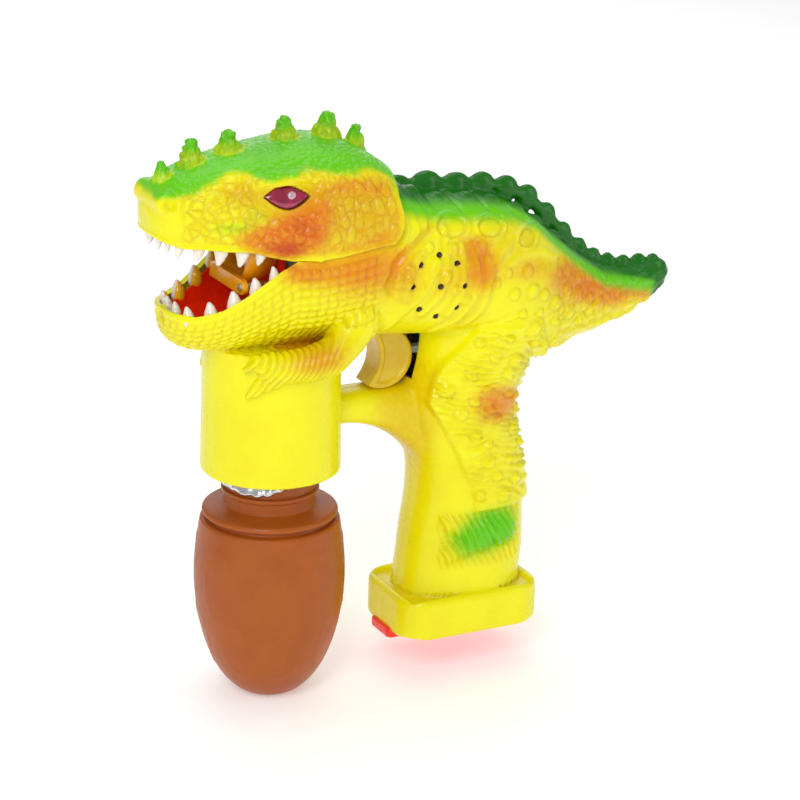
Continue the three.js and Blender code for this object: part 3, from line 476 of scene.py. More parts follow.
# ---------------------------------------------------------------- finishes
class Wire:
    """A shader value that can be used in sums."""

    def __init__(self, finish, socket):
        self.finish = finish
        self.socket = socket

    def maths(self, operation, *values):
        inputs = dict(enumerate(values))
        return self.finish.node("ShaderNodeMath", {"operation": operation}, inputs)

    def __add__(self, other):
        return self.maths("ADD", self, other)

    def __sub__(self, other):
        return self.maths("SUBTRACT", self, other)

    def __rsub__(self, other):
        return self.maths("SUBTRACT", other, self)

    def __mul__(self, other):
        return self.maths("MULTIPLY", self, other)

    def __truediv__(self, other):
        return self.maths("DIVIDE", self, other)

    def __pow__(self, other):
        return self.maths("POWER", self, other)

    def at_most(self, other):
        return self.maths("MINIMUM", self, other)

    def between(self, start, end):
        """0 below start, 1 above end, smooth between."""
        inputs = {0: self, 1: start, 2: end}
        return self.finish.node(
            "ShaderNodeMapRange", {"interpolation_type": "SMOOTHSTEP", "clamp": True}, inputs
        )

    __radd__ = __add__
    __rmul__ = __mul__


class Finish:
    """One material and the nodes that make it."""

    def __init__(self, name, roughness=0.3, metallic=0.0, coat=0.0, specular=0.5, through=0.0, bounce=0.0):
        self.material = bpy.data.materials.new(name)
        self.material.use_nodes = True
        self.tree = self.material.node_tree
        self.shader = self.tree.nodes["Principled BSDF"]
        self.set("Roughness", roughness)
        self.set("Metallic", metallic)
        self.set("Coat Weight", coat)
        self.set("Coat Roughness", 0.06)
        self.set("Specular IOR Level", specular)
        self.set("Transmission Weight", through)
        if bounce:
            self.set("Subsurface Weight", bounce)
            self.set("Subsurface Radius", (1.0, 0.7, 0.2))
            self.set("Subsurface Scale", 0.004)
        place = self.tree.nodes.new("ShaderNodeTexCoord")
        self.place = Wire(self, place.outputs["Object"])

    def set(self, name, value):
        socket = self.shader.inputs[name]
        if isinstance(value, Wire):
            self.tree.links.new(value.socket, socket)
        else:
            socket.default_value = value

    def node(self, kind, settings=None, inputs=None, output=0):
        node = self.tree.nodes.new(kind)
        for name, value in (settings or {}).items():
            if name == "stops":
                ramp = node.color_ramp
                for number, (at, colour) in enumerate(value):
                    stop = ramp.elements[number] if number < 2 else ramp.elements.new(at)
                    stop.position = at
                    stop.color = (*colour, 1)
            else:
                setattr(node, name, value)
        for name, value in (inputs or {}).items():
            socket = node.inputs[name]
            if isinstance(value, Wire):
                self.tree.links.new(value.socket, socket)
            elif socket.type == "RGBA" and len(value) == 3:
                socket.default_value = (*value, 1)
            else:
                socket.default_value = value
        return Wire(self, node.outputs[output])

    def layer(self, name):
        """A painted layer stored on the mesh: airbrushed paint, or the painted shade of the hollows."""
        return self.node("ShaderNodeAttribute", {"attribute_name": name}, output="Fac")

    def mix(self, amount, first, second, way="MIX"):
        inputs = {0: amount, 6: first, 7: second}
        return self.node("ShaderNodeMix", {"data_type": "RGBA", "blend_type": way}, inputs, output=2)

    def clouds(self, size, detail=3, roughness=0.55):
        """Noise with features of a size in millimetres, 0 to 1."""
        inputs = {"Vector": self.place, "Scale": 1 / (size * MM), "Detail": detail, "Roughness": roughness}
        return self.node("ShaderNodeTexNoise", None, inputs, output="Fac")

    def bump(self, height, distance, strength=1.0, under=None):
        inputs = {"Height": height, "Distance": distance * MM, "Strength": strength}
        if under:
            inputs["Normal"] = under
        return self.node("ShaderNodeBump", None, inputs)


# linear colours
LEMON = (0.86, 0.82, 0.002)
LEMON_DEEP = (0.80, 0.68, 0.002)
OCHRE = (0.66, 0.37, 0.001)
ORANGE = (0.72, 0.17, 0.001)
BURNT = (0.50, 0.028, 0.001)
GRASS = (0.10, 0.58, 0.002)
FOREST = (0.002, 0.13, 0.004)
BROWN = (0.045, 0.012, 0.004)


def speaker_hole_shade(made):
    """1 inside the round holes over the speaker, on both flanks, where dark brown is painted as the shade
    inside the holes.
    """
    x, y, z = (
        made.node("ShaderNodeSeparateXYZ", None, {0: made.place}, output=number) for number in range(3)
    )
    nearest = None
    for hole_x, hole_z in SPEAKER_HOLES:
        across = x - (hole_x * MM + axis_place.x)
        tall = z - hole_z * MM
        away = (across * across + tall * tall) ** 0.5
        nearest = away if nearest is None else nearest.at_most(away)
    far_out = (y * y) ** 0.5
    return (1 - nearest.between(1.05 * MM, 1.3 * MM)) * far_out.between(20 * MM, 22 * MM)


def painted_plastic(name, holes=False):
    """Glossy moulded lemon plastic with airbrushed zones, painted shade in its hollows and, with holes,
    painted shade in the speaker holes.
    """
    made = Finish(name, roughness=0.3, coat=0.12, bounce=0.03, specular=0.28)
    fleck = made.clouds(2.2, 3)
    drift = made.clouds(16, 2)
    hollow = made.layer("hollow")
    colour = made.mix(drift.between(0.35, 0.75) * 0.35, LEMON, LEMON_DEEP)
    # painted shade: hollows, creases and scale joints darkened towards ochre
    colour = made.mix(hollow * 0.55, colour, OCHRE)
    misted = (fleck - 0.5) * 0.35

    # the last argument sprays this paint further into the hollows, as part of their painted shade
    def spray(colour, layer, paint, strength=1.0, into_hollow_shade=0.0):
        amount = made.layer(layer)
        edge = (amount + misted * (amount * (1 - amount) * 4)).between(0.06, 0.92)
        return made.mix((edge * strength + hollow * amount * into_hollow_shade).at_most(1), colour, paint)

    colour = spray(colour, "ochre", OCHRE, 0.85)
    colour = spray(colour, "orange", ORANGE, 0.8, 0.3)
    colour = spray(colour, "burnt", BURNT, 0.85)
    colour = spray(colour, "grass", GRASS, 0.95)
    colour = spray(colour, "forest", FOREST, 0.96)
    colour = spray(colour, "brown", BROWN)
    # painted shade: dark brown inside the shallow speaker pits, for the shade of the holes
    if holes:
        colour = made.mix(speaker_hole_shade(made), colour, BROWN)
    made.set("Base Color", colour)
    worn = made.clouds(5, 4)
    made.set("Roughness", worn * 0.16 + 0.2)
    made.set("Normal", made.bump(made.clouds(0.9, 3), 0.02, 0.6, made.bump(made.clouds(4.5, 2), 0.04)))
    return made.material


def plain_plastic(name, colour, deep, roughness=0.32, coat=0.2, grain=1.2, bounce=0.0, through=0.0):
    """Moulded plastic with slight clouding and a fine moulded grain."""
    made = Finish(name, roughness=roughness, coat=coat, bounce=bounce, through=through)
    made.set("Base Color", made.mix(made.clouds(9, 3).between(0.3, 0.75), colour, deep))
    made.set("Roughness", made.clouds(4, 3) * 0.18 + (roughness - 0.08))
    made.set("Normal", made.bump(made.clouds(grain, 3), 0.04, 0.7))
    return made.material


def tooth_plastic():
    """Cream enamel over the casing's yellow plastic, which shows on the inner sides of the lower teeth."""
    made = Finish("cream_tooth_enamel", roughness=0.25, coat=0.5, bounce=0.1)
    colour = made.mix(made.clouds(3, 3).between(0.3, 0.75), (0.88, 0.83, 0.78), (0.84, 0.74, 0.62))
    made.set("Base Color", made.mix(made.layer("inside").between(0.2, 0.8), colour, (0.85, 0.50, 0.004)))
    made.set("Roughness", made.clouds(2, 3) * 0.2 + 0.16)
    made.set("Normal", made.bump(made.clouds(1.2, 3), 0.05, 0.7))
    return made.material


def metal(name, colour, dull, roughness=0.28, grain=0.8):
    """Bare metal with a fine brushed surface and duller patches."""
    made = Finish(name, roughness=roughness, metallic=1.0)
    made.set("Base Color", made.mix(made.clouds(5, 4).between(0.35, 0.8), colour, dull))
    made.set("Roughness", made.clouds(2, 4) * 0.22 + (roughness - 0.1))
    made.set("Normal", made.bump(made.clouds(grain, 4), 0.03, 0.8))
    return made.material


def bottle_plastic():
    """Satin terracotta plastic, blushed and finely speckled."""
    made = Finish("terracotta_plastic", roughness=0.4, coat=0.05, bounce=0.04, specular=0.3)
    colour = made.mix(made.clouds(14, 3).between(0.2, 0.9), (0.40, 0.092, 0.006), (0.35, 0.075, 0.005))
    colour = made.mix(made.clouds(0.7, 2).between(0.66, 0.76) * 0.3, colour, (0.46, 0.13, 0.02))
    made.set("Base Color", colour)
    made.set("Roughness", made.clouds(3, 4) * 0.16 + 0.33)
    made.set("Normal", made.bump(made.clouds(0.8, 4), 0.05, 0.8, made.bump(made.clouds(5, 2), 0.08)))
    return made.material


def eye_plastic():
    """Clear crimson plastic, clouded with a darker tint."""
    made = Finish("crimson_lens", roughness=0.08, coat=1.0, through=0.25)
    colour = made.mix(made.clouds(3, 3).between(0.3, 0.7), (0.50, 0.004, 0.075), (0.25, 0.0, 0.03))
    made.set("Base Color", colour)
    made.set("Normal", made.bump(made.clouds(1.6, 2), 0.03, 0.5))
    return made.material


# name of the finish, two colours, roughness, coat, light let in, light let through
PLAIN_FINISHES = {
    "amber": ("amber_ring_plastic", (1.0, 0.42, 0.001), (0.98, 0.34, 0.001), 0.22, 0.2, 0.3, 0),
    # the trigger's ochre colours are painted shade: it is body yellow, darkened for the shade it sits in
    "trigger": ("trigger_plastic_with_painted_shade", (0.74, 0.52, 0.002), (0.66, 0.42, 0.002), 0.28, 0.08, 0, 0),
    "red": ("red_plastic", (0.95, 0.032, 0.001), (0.90, 0.02, 0.001), 0.28, 0.15, 0.2, 0),
    "wire": ("red_wire_sleeve", (0.5, 0.02, 0.01), (0.35, 0.01, 0.01), 0.4, 0.1, 0, 0),
    "lamp": ("clear_lamp_resin", (0.85, 0.62, 0.66), (0.75, 0.45, 0.52), 0.08, 1.0, 0, 0.4),
    "white": ("white_inner_plastic", (0.78, 0.78, 0.76), (0.68, 0.68, 0.66), 0.36, 0.1, 0, 0),
    "silicone": ("milky_silicone", (0.72, 0.74, 0.72), (0.60, 0.63, 0.62), 0.42, 0.1, 0.3, 0),
    "black": ("black_plastic", (0.02, 0.02, 0.022), (0.012, 0.012, 0.014), 0.4, 0.1, 0, 0),
    "board": ("green_board_resin", (0.02, 0.16, 0.05), (0.012, 0.10, 0.035), 0.35, 0.3, 0, 0),
    "cell": ("cell_sleeve", (0.03, 0.07, 0.22), (0.02, 0.04, 0.14), 0.3, 0.4, 0, 0),
}


def finishes():
    """Every finish by the name of its slot."""
    made = {
        "shell": painted_plastic("lemon_body_plastic", holes=True),
        "head": painted_plastic("lemon_head_plastic"),
        "ivory": tooth_plastic(),
        "egg": bottle_plastic(),
        "foil": metal("crumpled_foil", (0.80, 0.80, 0.82), (0.62, 0.62, 0.66), 0.22, 0.5),
        "lens": eye_plastic(),
        "steel": metal("plated_steel", (0.62, 0.62, 0.64), (0.46, 0.46, 0.48)),
    }
    for slot, (name, colour, deep, roughness, coat, bounce, through) in PLAIN_FINISHES.items():
        made[slot] = plain_plastic(name, colour, deep, roughness, coat, bounce=bounce, through=through)
    return made


# ---------------------------------------------------------------- body skin
# arm, claws and toes as links: x, y, z, radius
ARM = [
    [27, 24, 162, 8], [20, 26.6, 154.5, 7.4], [12.5, 27.6, 148.4, 7.2], [3, 28, 147, 6.7],
    [-6, 27.4, 146.6, 6.2], [-12, 25.6, 146, 5.6],
]
CLAWS = [
    [[-11.5, 25.8, 149, 3.7], [-16.6, 23.8, 149, 2.9], [-21.4, 21.0, 145.6, 1.0]],
    [[-10, 26, 142.4, 3.7], [-15.6, 24, 139.2, 2.9], [-20, 21.6, 134.2, 1.0]],
]
FOOT_BALLS = [
    [96, 12.5, 60, 9.5], [86, 13.5, 59, 9.5], [78, 14, 64, 6.6], [73.5, 14, 65.4, 5], [78, 14.2, 54, 6.6],
    [73.5, 14, 51.6, 5],
]


def body_form():
    """The overlapping solids that the body skin is cast round."""
    bm = bmesh.new()
    loft(bm, BODY, 0)
    loft(bm, GRIP, 2, power=2.3)
    loft(bm, GUARD, 0, power=2.8, around=56)
    drum(bm, (0, 0), COLLAR_RADIUS, COLLAR_TOP_RADIUS, COLLAR_LOW, COLLAR_TOP)
    slab(bm, PLINTH_LOW, PLINTH_HIGH, round_by=2.2, upright=13)
    for x, top, reach in CREST:
        ball(bm, (x, 0, top - 5.4), (reach, 0.52 * reach, 5.6), 4)
    spine = [[x, 0, top - 2.2 - 0.5 * reach, 0.5 * reach] for x, top, reach in CREST]
    limb(bm, [[44, 0, 202.4, 3.8], *spine])
    for x, _, reach in CREST[:8]:
        top = float(curve(BODY, [x])[0][1])
        for sign in (-1, 1):
            ball(bm, (x - 1, sign * reach * 1.2, top - 3.8), (reach, reach * 0.72, 4.4), 3)
    for points in (ARM, *CLAWS, *[[foot] for foot in FOOT_BALLS]):
        limb(bm, points)
        limb(bm, both_sides(points))
    return bm


LEG_FRONT = [
    (78, 153), (71.8, 143.7), (66.9, 137.1), (64, 131.2), (62.3, 124.6), (61.5, 118.9), (67.1, 109.2),
    (72.9, 98.4), (77.1, 88.7), (81.4, 80.4), (82.9, 70),
]
LEG = LEG_FRONT + [(128, 70), (128, 118), (114, 136), (104, 153)]
FLANK_BUMPS = [
    (51.9, 189.2), (61.9, 187.4), (74.4, 186.8), (43.1, 181.5), (58.6, 177), (38.7, 176.7), (62.6, 171.2),
    (67.3, 166.6), (74.9, 170.3), (80.7, 171.8), (89.4, 166.2), (98.6, 165.9), (94, 157.1), (42.6, 176),
    (70, 180), (86, 175.2), (105, 163), (112, 158), (103, 156), (119, 162), (126, 158), (133, 155),
    (96, 174.5), (121, 152), (113, 150), (129, 147), (139, 151), (108, 142), (116, 139), (100, 150),
]
WARTS = [
    (90.4, 146.8), (84.7, 139.6), (94.3, 136.1), (103.2, 143), (75.7, 132.1), (91.6, 131.4), (83, 124.9),
    (78.3, 120.4), (73.3, 115), (89.6, 110.4), (85.6, 115), (67.4, 125.4), (86.5, 99.9), (91.2, 85),
    (95, 75.7), (96.6, 90.8), (80.5, 104.5), (99.5, 103), (103.5, 96), (100.5, 82), (87, 92), (78, 146),
    (98, 118), (101.5, 110.5), (93.5, 121), (84, 77.5),
]
SHOULDER_RIDGE = [(37.7, 156.4), (41.6, 163.9), (48.1, 170.4), (51.8, 176.8), (54.6, 182.9)]
SHOULDER_GROOVE = [
    (55, 196.2), (49.7, 193.3), (45.3, 191.1), (40.2, 187.6), (37.3, 184.2), (36.2, 179.1), (34.3, 175.8),
    (35.4, 172.6),
]
THIGH_ARC = [(78.2, 175.6), (83.2, 183.6), (91.8, 187.9), (101.6, 189.4), (110, 186)]
LOWER_THIGH_ARC = [(83.9, 177.3), (93.8, 181.5), (104, 180.7), (113, 176)]
FLANK_FOLDS = [
    [(60, 194), (59, 186), (58.8, 178), (56, 170), (50, 162)],
    [(66, 188), (66.5, 180), (65.5, 170), (61, 161)],
    [(71, 187), (72.5, 178), (71.5, 168), (66, 158), (58, 152)],
    [(77, 182), (77.5, 172), (75, 162), (70, 154)],
    [(47, 186), (42.5, 178), (42, 170)],
]
NECK_FOLDS = [
    [(43, 211), (47, 203), (48, 196), (44, 190)], [(48.5, 209), (52.5, 202), (53, 196)],
    [(56, 207), (58.5, 200)], [(41, 205), (43.5, 197), (40, 190)],
]
# plates under the crest: centre, half length, half height
PLATES = [((63.8, 194.5), 6.9, 3.7), ((81.5, 192.4), 6.2, 3.3), ((98, 186), 5.5, 3)]
SIDE_GROOVES = [
    [(70, 205), (72, 199), (76, 196.5)], [(83, 204), (84.5, 198), (89, 195)],
    [(96, 200), (97, 194.5), (102, 191)],
    [(107, 194), (108, 189), (112, 185)], [(117, 186), (118, 181), (121, 177)],
]


def carve_body(skin):
    """Scales, folds, warts and muscles on the body skin; returns the painted shade for its hollows."""
    x, z, side = skin.x, skin.z, skin.side
    rim = line(JAW_RIM)(x)
    lip = line(LIP)(x)
    height = np.zeros(len(x))
    # hollow: painted shade for creases, scale joints, grooves, plate edges and the plinth's tray
    hollow = np.zeros(len(x))
    broad = step(np.abs(skin.normals[:, 1]), 0.35, 0.7)

    # jaw: rows of squared scales below a smooth rim
    places = np.linspace(-46.6, 60, 400)
    outline = curve(BODY, places)
    run = np.concatenate([[0], np.cumsum(np.hypot(np.diff(places), np.diff(outline[:, 2])))])
    along = np.interp(x, places, run)
    half = curve(BODY, np.clip(x, -46.6, 180))[:, 2]
    drop = np.where(x < -2, rim, lip) - z + 0.8 * np.clip(half - side, 0, 40) - 3.6
    plain_collar = (np.hypot(x, skin.y) < COLLAR_RADIUS + 1.2) & (z < 149.2)
    arm_part = (side > 20.5) & (x < 29) & (z < 160) & (~plain_collar) & (x > -28)
    jaw = step(drop, -0.6, 0.6) * step(34 - x, 0, 6) * (~plain_collar) * (z > 149.5) * (~arm_part)
    rows = drop / 3.6
    squares = pillows(along / 3.7 + 0.5 * np.floor(rows) % 1 * 0.3, rows)
    height += jaw * (1.05 * squares - 0.35)
    hollow = np.maximum(hollow, jaw * (1 - squares) * 0.75)
    edge = (x < 2) * np.exp(-((drop + 1.9) / 1.7) ** 2) * (z > 160)
    height += 0.7 * edge

    # flank
    flank = step(x, 34, 40) * step(z, 146, 152)
    for number, place in enumerate(FLANK_BUMPS):
        size = 1.9 + 0.6 * (number % 3)
        height += broad * skin.bump(place, size, 1.0)
        hollow = np.maximum(hollow, 0.3 * broad * np.exp(-((skin.off_spot(place) / size - 1.1) / 0.25) ** 2))
    for places in FLANK_FOLDS:
        height += flank * skin.ridge(places, 2.6, 1.0)
        hollow = np.maximum(hollow, flank * 0.5 * np.exp(-((skin.off_line(places) - 2.2) / 1.0) ** 2))
    for places, width, rise in (
        (SHOULDER_RIDGE, 4.2, 1.5), (THIGH_ARC, 3.6, 1.3), (LOWER_THIGH_ARC, 3.4, 1.1),
    ):
        height += skin.ridge(places, width, rise)
    height += skin.ridge(SHOULDER_GROOVE, 3.4, -1.6)
    hollow = np.maximum(hollow, skin.ridge(SHOULDER_GROOVE, 3.4, 1))
    for places in NECK_FOLDS:
        height += skin.ridge(places, 2.6, 0.6)
    for places in SIDE_GROOVES:
        height += skin.ridge(places, 1.8, -0.9)
    for centre, long, tall in PLATES:
        r = np.hypot((x - centre[0]) / long, (z - centre[1]) / tall)
        height += 1.1 * np.exp(-((r - 1.12) / 0.16) ** 2) - 0.6 * (r < 1)
        height += 0.9 * np.sqrt(np.clip(1 - (r / 0.86) ** 2, 0, 1))
        hollow = np.maximum(hollow, 0.6 * np.exp(-((r - 0.92) / 0.09) ** 2))
    for place in SPEAKER_HOLES:
        height += -1.6 * step(1.35 - skin.off_spot(place), 0, 0.5)

    # leg: raised thigh and shin with creases and warts
    inside = skin.within(LEG)
    leg = step(inside, -1.2, 1.4) * step(side, 5, 12)
    height += 2.4 * leg
    crease_zone = step(inside, 0, 2) * step(x, 60, 64) * step(152 - z, 0, 6) * step(z, 70, 76)
    sway = z + 0.28 * (x - 80) + 3.4 * wander(x, z, 8) + 1.3 * wander(z, x, 3.4)
    crease = np.sin(math.tau * sway / 3.1) * (0.65 + 0.6 * wander(x * 1.3, z, 4))
    height += crease_zone * 0.62 * crease
    hollow = np.maximum(hollow, crease_zone * 0.5 * np.clip(-crease, 0, 1))
    for number, place in enumerate(WARTS):
        size = 1.8 + 0.5 * (number % 3)
        height += broad * skin.bump(place, size, 1.25) * step(side, 4, 9)
        around = np.exp(-((skin.off_spot(place) / size - 1.15) / 0.25) ** 2)
        hollow = np.maximum(hollow, 0.25 * broad * around)
    back_folds = step(x, 98, 104) * step(z, 72, 80) * step(150 - z, 0, 6)
    height += back_folds * 0.5 * np.sin(math.tau * (z + 1.2 * wander(side, z, 6)) / 5.2)

    # foot: creased toes
    foot = step(x, 68, 70) * step(108 - x, 0, 3) * step(71 - z, 0, 3) * step(z, 44, 47) * step(side, 10, 15)
    toes = np.sin(math.tau * (x + 0.5 * z + wander(x, z, 6)) / 3.1)
    height += foot * 0.6 * toes
    hollow = np.maximum(hollow, foot * 0.5 * np.clip(-toes, 0, 1))

    # arm: bumps above the elbow, cross creases on the forearm
    forearm = arm_part * step(17 - x, 0, 5)
    crossing = np.sin(math.tau * (x - 0.5 * (z - 147) + 0.6 * wander(x, z, 5)) / 2.5)
    height += forearm * 0.5 * crossing
    hollow = np.maximum(hollow, forearm * 0.6 * np.clip(-crossing, 0, 1))

    # tail: small bumps below, knobs along the side
    tail = step(x, 106, 118) * (z < 175)
    knobs = skin.cobbles(4.6, where=tail > 0.01)
    height += tail * (0.3 + 0.7 * broad) * (0.75 * knobs - 0.25) * step(177 - x, 0, 6)
    hollow = np.maximum(hollow, tail * (1 - knobs) * 0.6)
    belly = step(164 - z, 0, 8) * step(x, 60, 68) * step(z, 143, 149)
    height += 0.25 * belly * np.sin(math.tau * (z - 0.35 * x + wander(x, z, 8) * 2) / 4.2)

    # plinth: a raised lip round the foot of the grip
    inset = np.minimum(np.minimum(x - PLINTH_LOW[0], PLINTH_HIGH[0] - x), PLINTH_HIGH[1] - side)
    tray = step(inset, 3.2, 4.6) * (z > 33) * (z < 36.5) * (skin.normals[:, 2] > 0.7)
    height -= 2.0 * tray
    hollow = np.maximum(hollow, 0.5 * tray)

    skin.carve(height * ~plain_collar)
    smooth_collar(skin.made.data)
    return hollow * ~plain_collar


def smooth_collar(mesh):
    """Puts the collar's outer wall exactly on its cone."""
    points = get_points(mesh)
    x, y, z = points.T
    rise = (z - COLLAR_LOW) / (COLLAR_TOP - COLLAR_LOW)
    cone = COLLAR_RADIUS + (COLLAR_TOP_RADIUS - COLLAR_RADIUS) * rise
    reach = np.maximum(np.hypot(x, y), 1)
    wall = (np.abs(reach - cone) < 0.6) & (z > COLLAR_LOW + 1.4) & (z < 146)
    points[wall, :2] *= (cone / reach)[wall, None]
    set_points(mesh, points)


def zone(skin, spots):
    """Soft painted patches, used for airbrushed paint and for painted shade: centre, reach along X, reach
    along Z, strength.
    """
    amount = np.zeros(len(skin.x))
    for place, reach_x, reach_z, strength in spots:
        r = np.hypot((skin.x - place[0]) / reach_x, (skin.z - place[1]) / reach_z)
        amount = 1 - (1 - amount) * (1 - strength * np.exp(-1.1 * r**2.4))
    return amount


def paint_body(skin, hollow):
    """The green back, the orange and ochre mists, the green foot, painted shade in the hollows and painted
    shade on the grip's front.
    """
    x, z, side = skin.x, skin.z, skin.side
    band = line([
        [36, 212], [43, 208.5], [57, 204], [79, 201.6], [95, 198.5], [105, 194], [117, 183.5], [130, 173],
        [143, 164], [158, 159.4], [168, 157], [180, 150],
    ])(x)
    behind = step(x, 36, 42)
    # painted shade: the hollows, turned ochre by the finish
    skin.paint_layer("hollow", hollow)
    foot = zone(skin, [((92, 61), 14, 11, 1.0), ((80, 58), 9, 9, 0.7)]) * step(side, 9, 13)
    skin.paint_layer("grass", np.maximum(behind * step(z, band - 11, band - 2), foot))
    dark = np.maximum(step(z, band - 4.5, band + 1.5), step(x, 166, 173))
    skin.paint_layer("forest", behind * dark * (1 - 0.25 * step(52 - x, 0, 10)))
    skin.paint_layer("orange", zone(skin, [
        ((24, 184), 20, 11, 0.85), ((2, 184), 13, 6, 0.8), ((58, 174), 8, 9, 0.35), ((74, 178), 9, 10, 0.75),
        ((72, 187), 8, 5, 0.6),
        ((97, 175), 13, 6, 0.55), ((118, 168), 15, 8, 0.75), ((134, 160), 15, 8, 0.85),
        ((150, 155), 15, 8, 0.95), ((166, 154), 8, 8, 0.8), ((92, 116), 13, 9, 0.85),
        ((84, 122), 8, 6, 0.5), ((4, 149), 15, 6, 0.6),
        ((38, 190), 5, 12, 0.25), ((45, 176), 6, 8, 0.25),
    ]))
    skin.paint_layer("burnt", zone(skin, [((160, 158), 11, 6, 0.5), ((-4, 186), 4, 2.6, 0.5)]))
    ochre = zone(skin, [
        ((40, 180), 12, 18, 0.4), ((70, 180), 18, 12, 0.45), ((92, 186), 14, 7, 0.4),
        ((24, 176), 16, 12, 0.45), ((125, 160), 22, 10, 0.5), ((8, 154), 16, 7, 0.6),
        ((90, 116), 14, 12, 0.4),
    ])
    # painted shade: the grip's front below the body, sprayed ochre
    front = step(73 - x, 0, 14) * step(x, 30, 50) * step(150 - z, 0, 20) * step(z, 60, 100)
    front *= skin.within(LEG) < 0
    skin.paint_layer("ochre", np.maximum(ochre, 0.6 * front))
    skin.paint_layer("brown", np.zeros(len(x)))


def under_cover(x, y, z):
    """The part of the body form that the head cover and the open mouth take the place of."""
    mouth = (z > line(JAW_RIM)(x)) & (x < -2)
    head = (z > line(LIP)(x) - 0.25) & (x < line(COVER_BACK)(z) - UNDER_COVER)
    return mouth | head


def open_slots(whole):
    """Opens the trigger's slot, the battery cover's hole and the foot of the collar."""
    slot_front, slot_back, slot_foot, slot_half = TRIGGER_SLOT
    walls = [(0, 2, slot_front), (0, 2, slot_back), (1, 2, -slot_half), (1, 2, slot_half), (2, 0, slot_foot)]
    for axis, other, place in walls:
        slice_at(whole, axis, lambda along: along * 0 + place, other)
    drop_faces(whole, lambda x, y, z: (
        (np.abs(y) < slot_half) & (x > slot_front) & (x < slot_back) & (z > slot_foot) & (z < 153)
    ))
    hole_front, hole_back, hole_half = COVER_HOLE
    plinth_foot = PLINTH_LOW[2] + 1.2
    slice_at(whole, 2, lambda along: along * 0 + plinth_foot)
    drop_faces(whole, lambda x, y, z: (
        (z < plinth_foot) & (x > hole_front) & (x < hole_back) & (np.abs(y) < hole_half)
    ))
    collar_foot = COLLAR_LOW + 0.3
    slice_at(whole, 2, lambda along: along * 0 + collar_foot)
    drop_faces(whole, lambda x, y, z: (z < collar_foot) & (np.hypot(x, y) < COLLAR_RADIUS - 1) & (x < 40))


def body_skins():
    """The two halves of the body, split along the middle."""
    whole = cast(body_form(), "body_skin", SKIN_GRAIN, 5)
    skin = Skin(whole)
    hollow = carve_body(skin)
    paint_body(skin, hollow)
    slice_at(whole, 2, line(JAW_RIM))
    slice_at(whole, 2, lambda place: line(LIP)(place) - 0.25)
    slice_at(whole, 0, lambda place: line(COVER_BACK)(place) - UNDER_COVER)
    drop_faces(whole, under_cover)
    open_slots(whole)
    halves = []
    for name, sign in (("left_shell_skin", -1), ("right_shell_skin", 1)):
        half = whole.copy()
        half.data = whole.data.copy()
        half.name = name
        half.data.name = name
        bpy.context.scene.collection.objects.link(half)
        rebuilt(half.data, lambda bm: bmesh.ops.bisect_plane(
            bm, geom=bm.verts[:] + bm.edges[:] + bm.faces[:], plane_co=(0, sign * SEAM, 0),
            plane_no=(0, -sign, 0), dist=1e-4, clear_outer=True,
        ))
        turn_in(half)
        halves.append(half)
    bpy.data.objects.remove(whole)
    return halves


# ---------------------------------------------------------------- head cover
def head_form():
    """The overlapping solids that the head cover is cast round."""
    bm = bmesh.new()
    loft(bm, SKULL, 0)
    for foot_x, foot_z, tip_x, tip_z, radius in NUBS:
        spike(bm, (foot_x, 0, foot_z - 0.5 * radius), (tip_x, 0, tip_z), 1.25 * radius, 0.36 * radius)
    for sign in (-1, 1):
        # brow over the eye, muzzle and nostril swellings
        brow = [[-19, 16, 217.5, 3.4], [-9, 19.6, 219.6, 3.6], [4, 22, 219.6, 3.6], [16, 24, 217.4, 3]]
        limb(bm, [[x, sign * y, z, radius] for x, y, z, radius in brow])
        ball(bm, (-31, sign * 13.5, 210.5), (9.5, 8, 6.8), 4)
        ball(bm, (-47.5, sign * 8.6, 211.5), (5.5, 5, 5.5), 4)
        ball(bm, (-10, sign * 19, 206), (14, 7, 5), 4)
    return bm


def almond(x, z):
    """How far a place in the side view lies outside the almond of the eye, negative inside."""
    along = np.clip((x - EYE_PLACE[0]) / EYE_REACH, -1, 1)
    beyond = np.clip(np.abs(x - EYE_PLACE[0]) - EYE_REACH, 0, 50)
    edge = EYE_HEIGHT * (1 - np.abs(along) ** 1.8)
    return np.hypot(np.clip(np.abs(z - EYE_PLACE[1] - eye_bow(along)) - edge, -9, 50), beyond) * np.sign(
        np.maximum(np.abs(z - EYE_PLACE[1] - eye_bow(along)) - edge, beyond - 1e-6)
    )


def eye_bow(along):
    """The corners of the eye sit a little above its middle."""
    return 0.5 * (along * along - 0.4)


CHEEK_RIDGE = [(6.6, 211), (8.1, 204.7), (5.7, 196.4), (6.7, 189.1)]
BROW_LINE = [(-22, 214.5), (-14, 218.2), (-4, 220.2), (6, 219.8), (18, 217), (28, 213)]


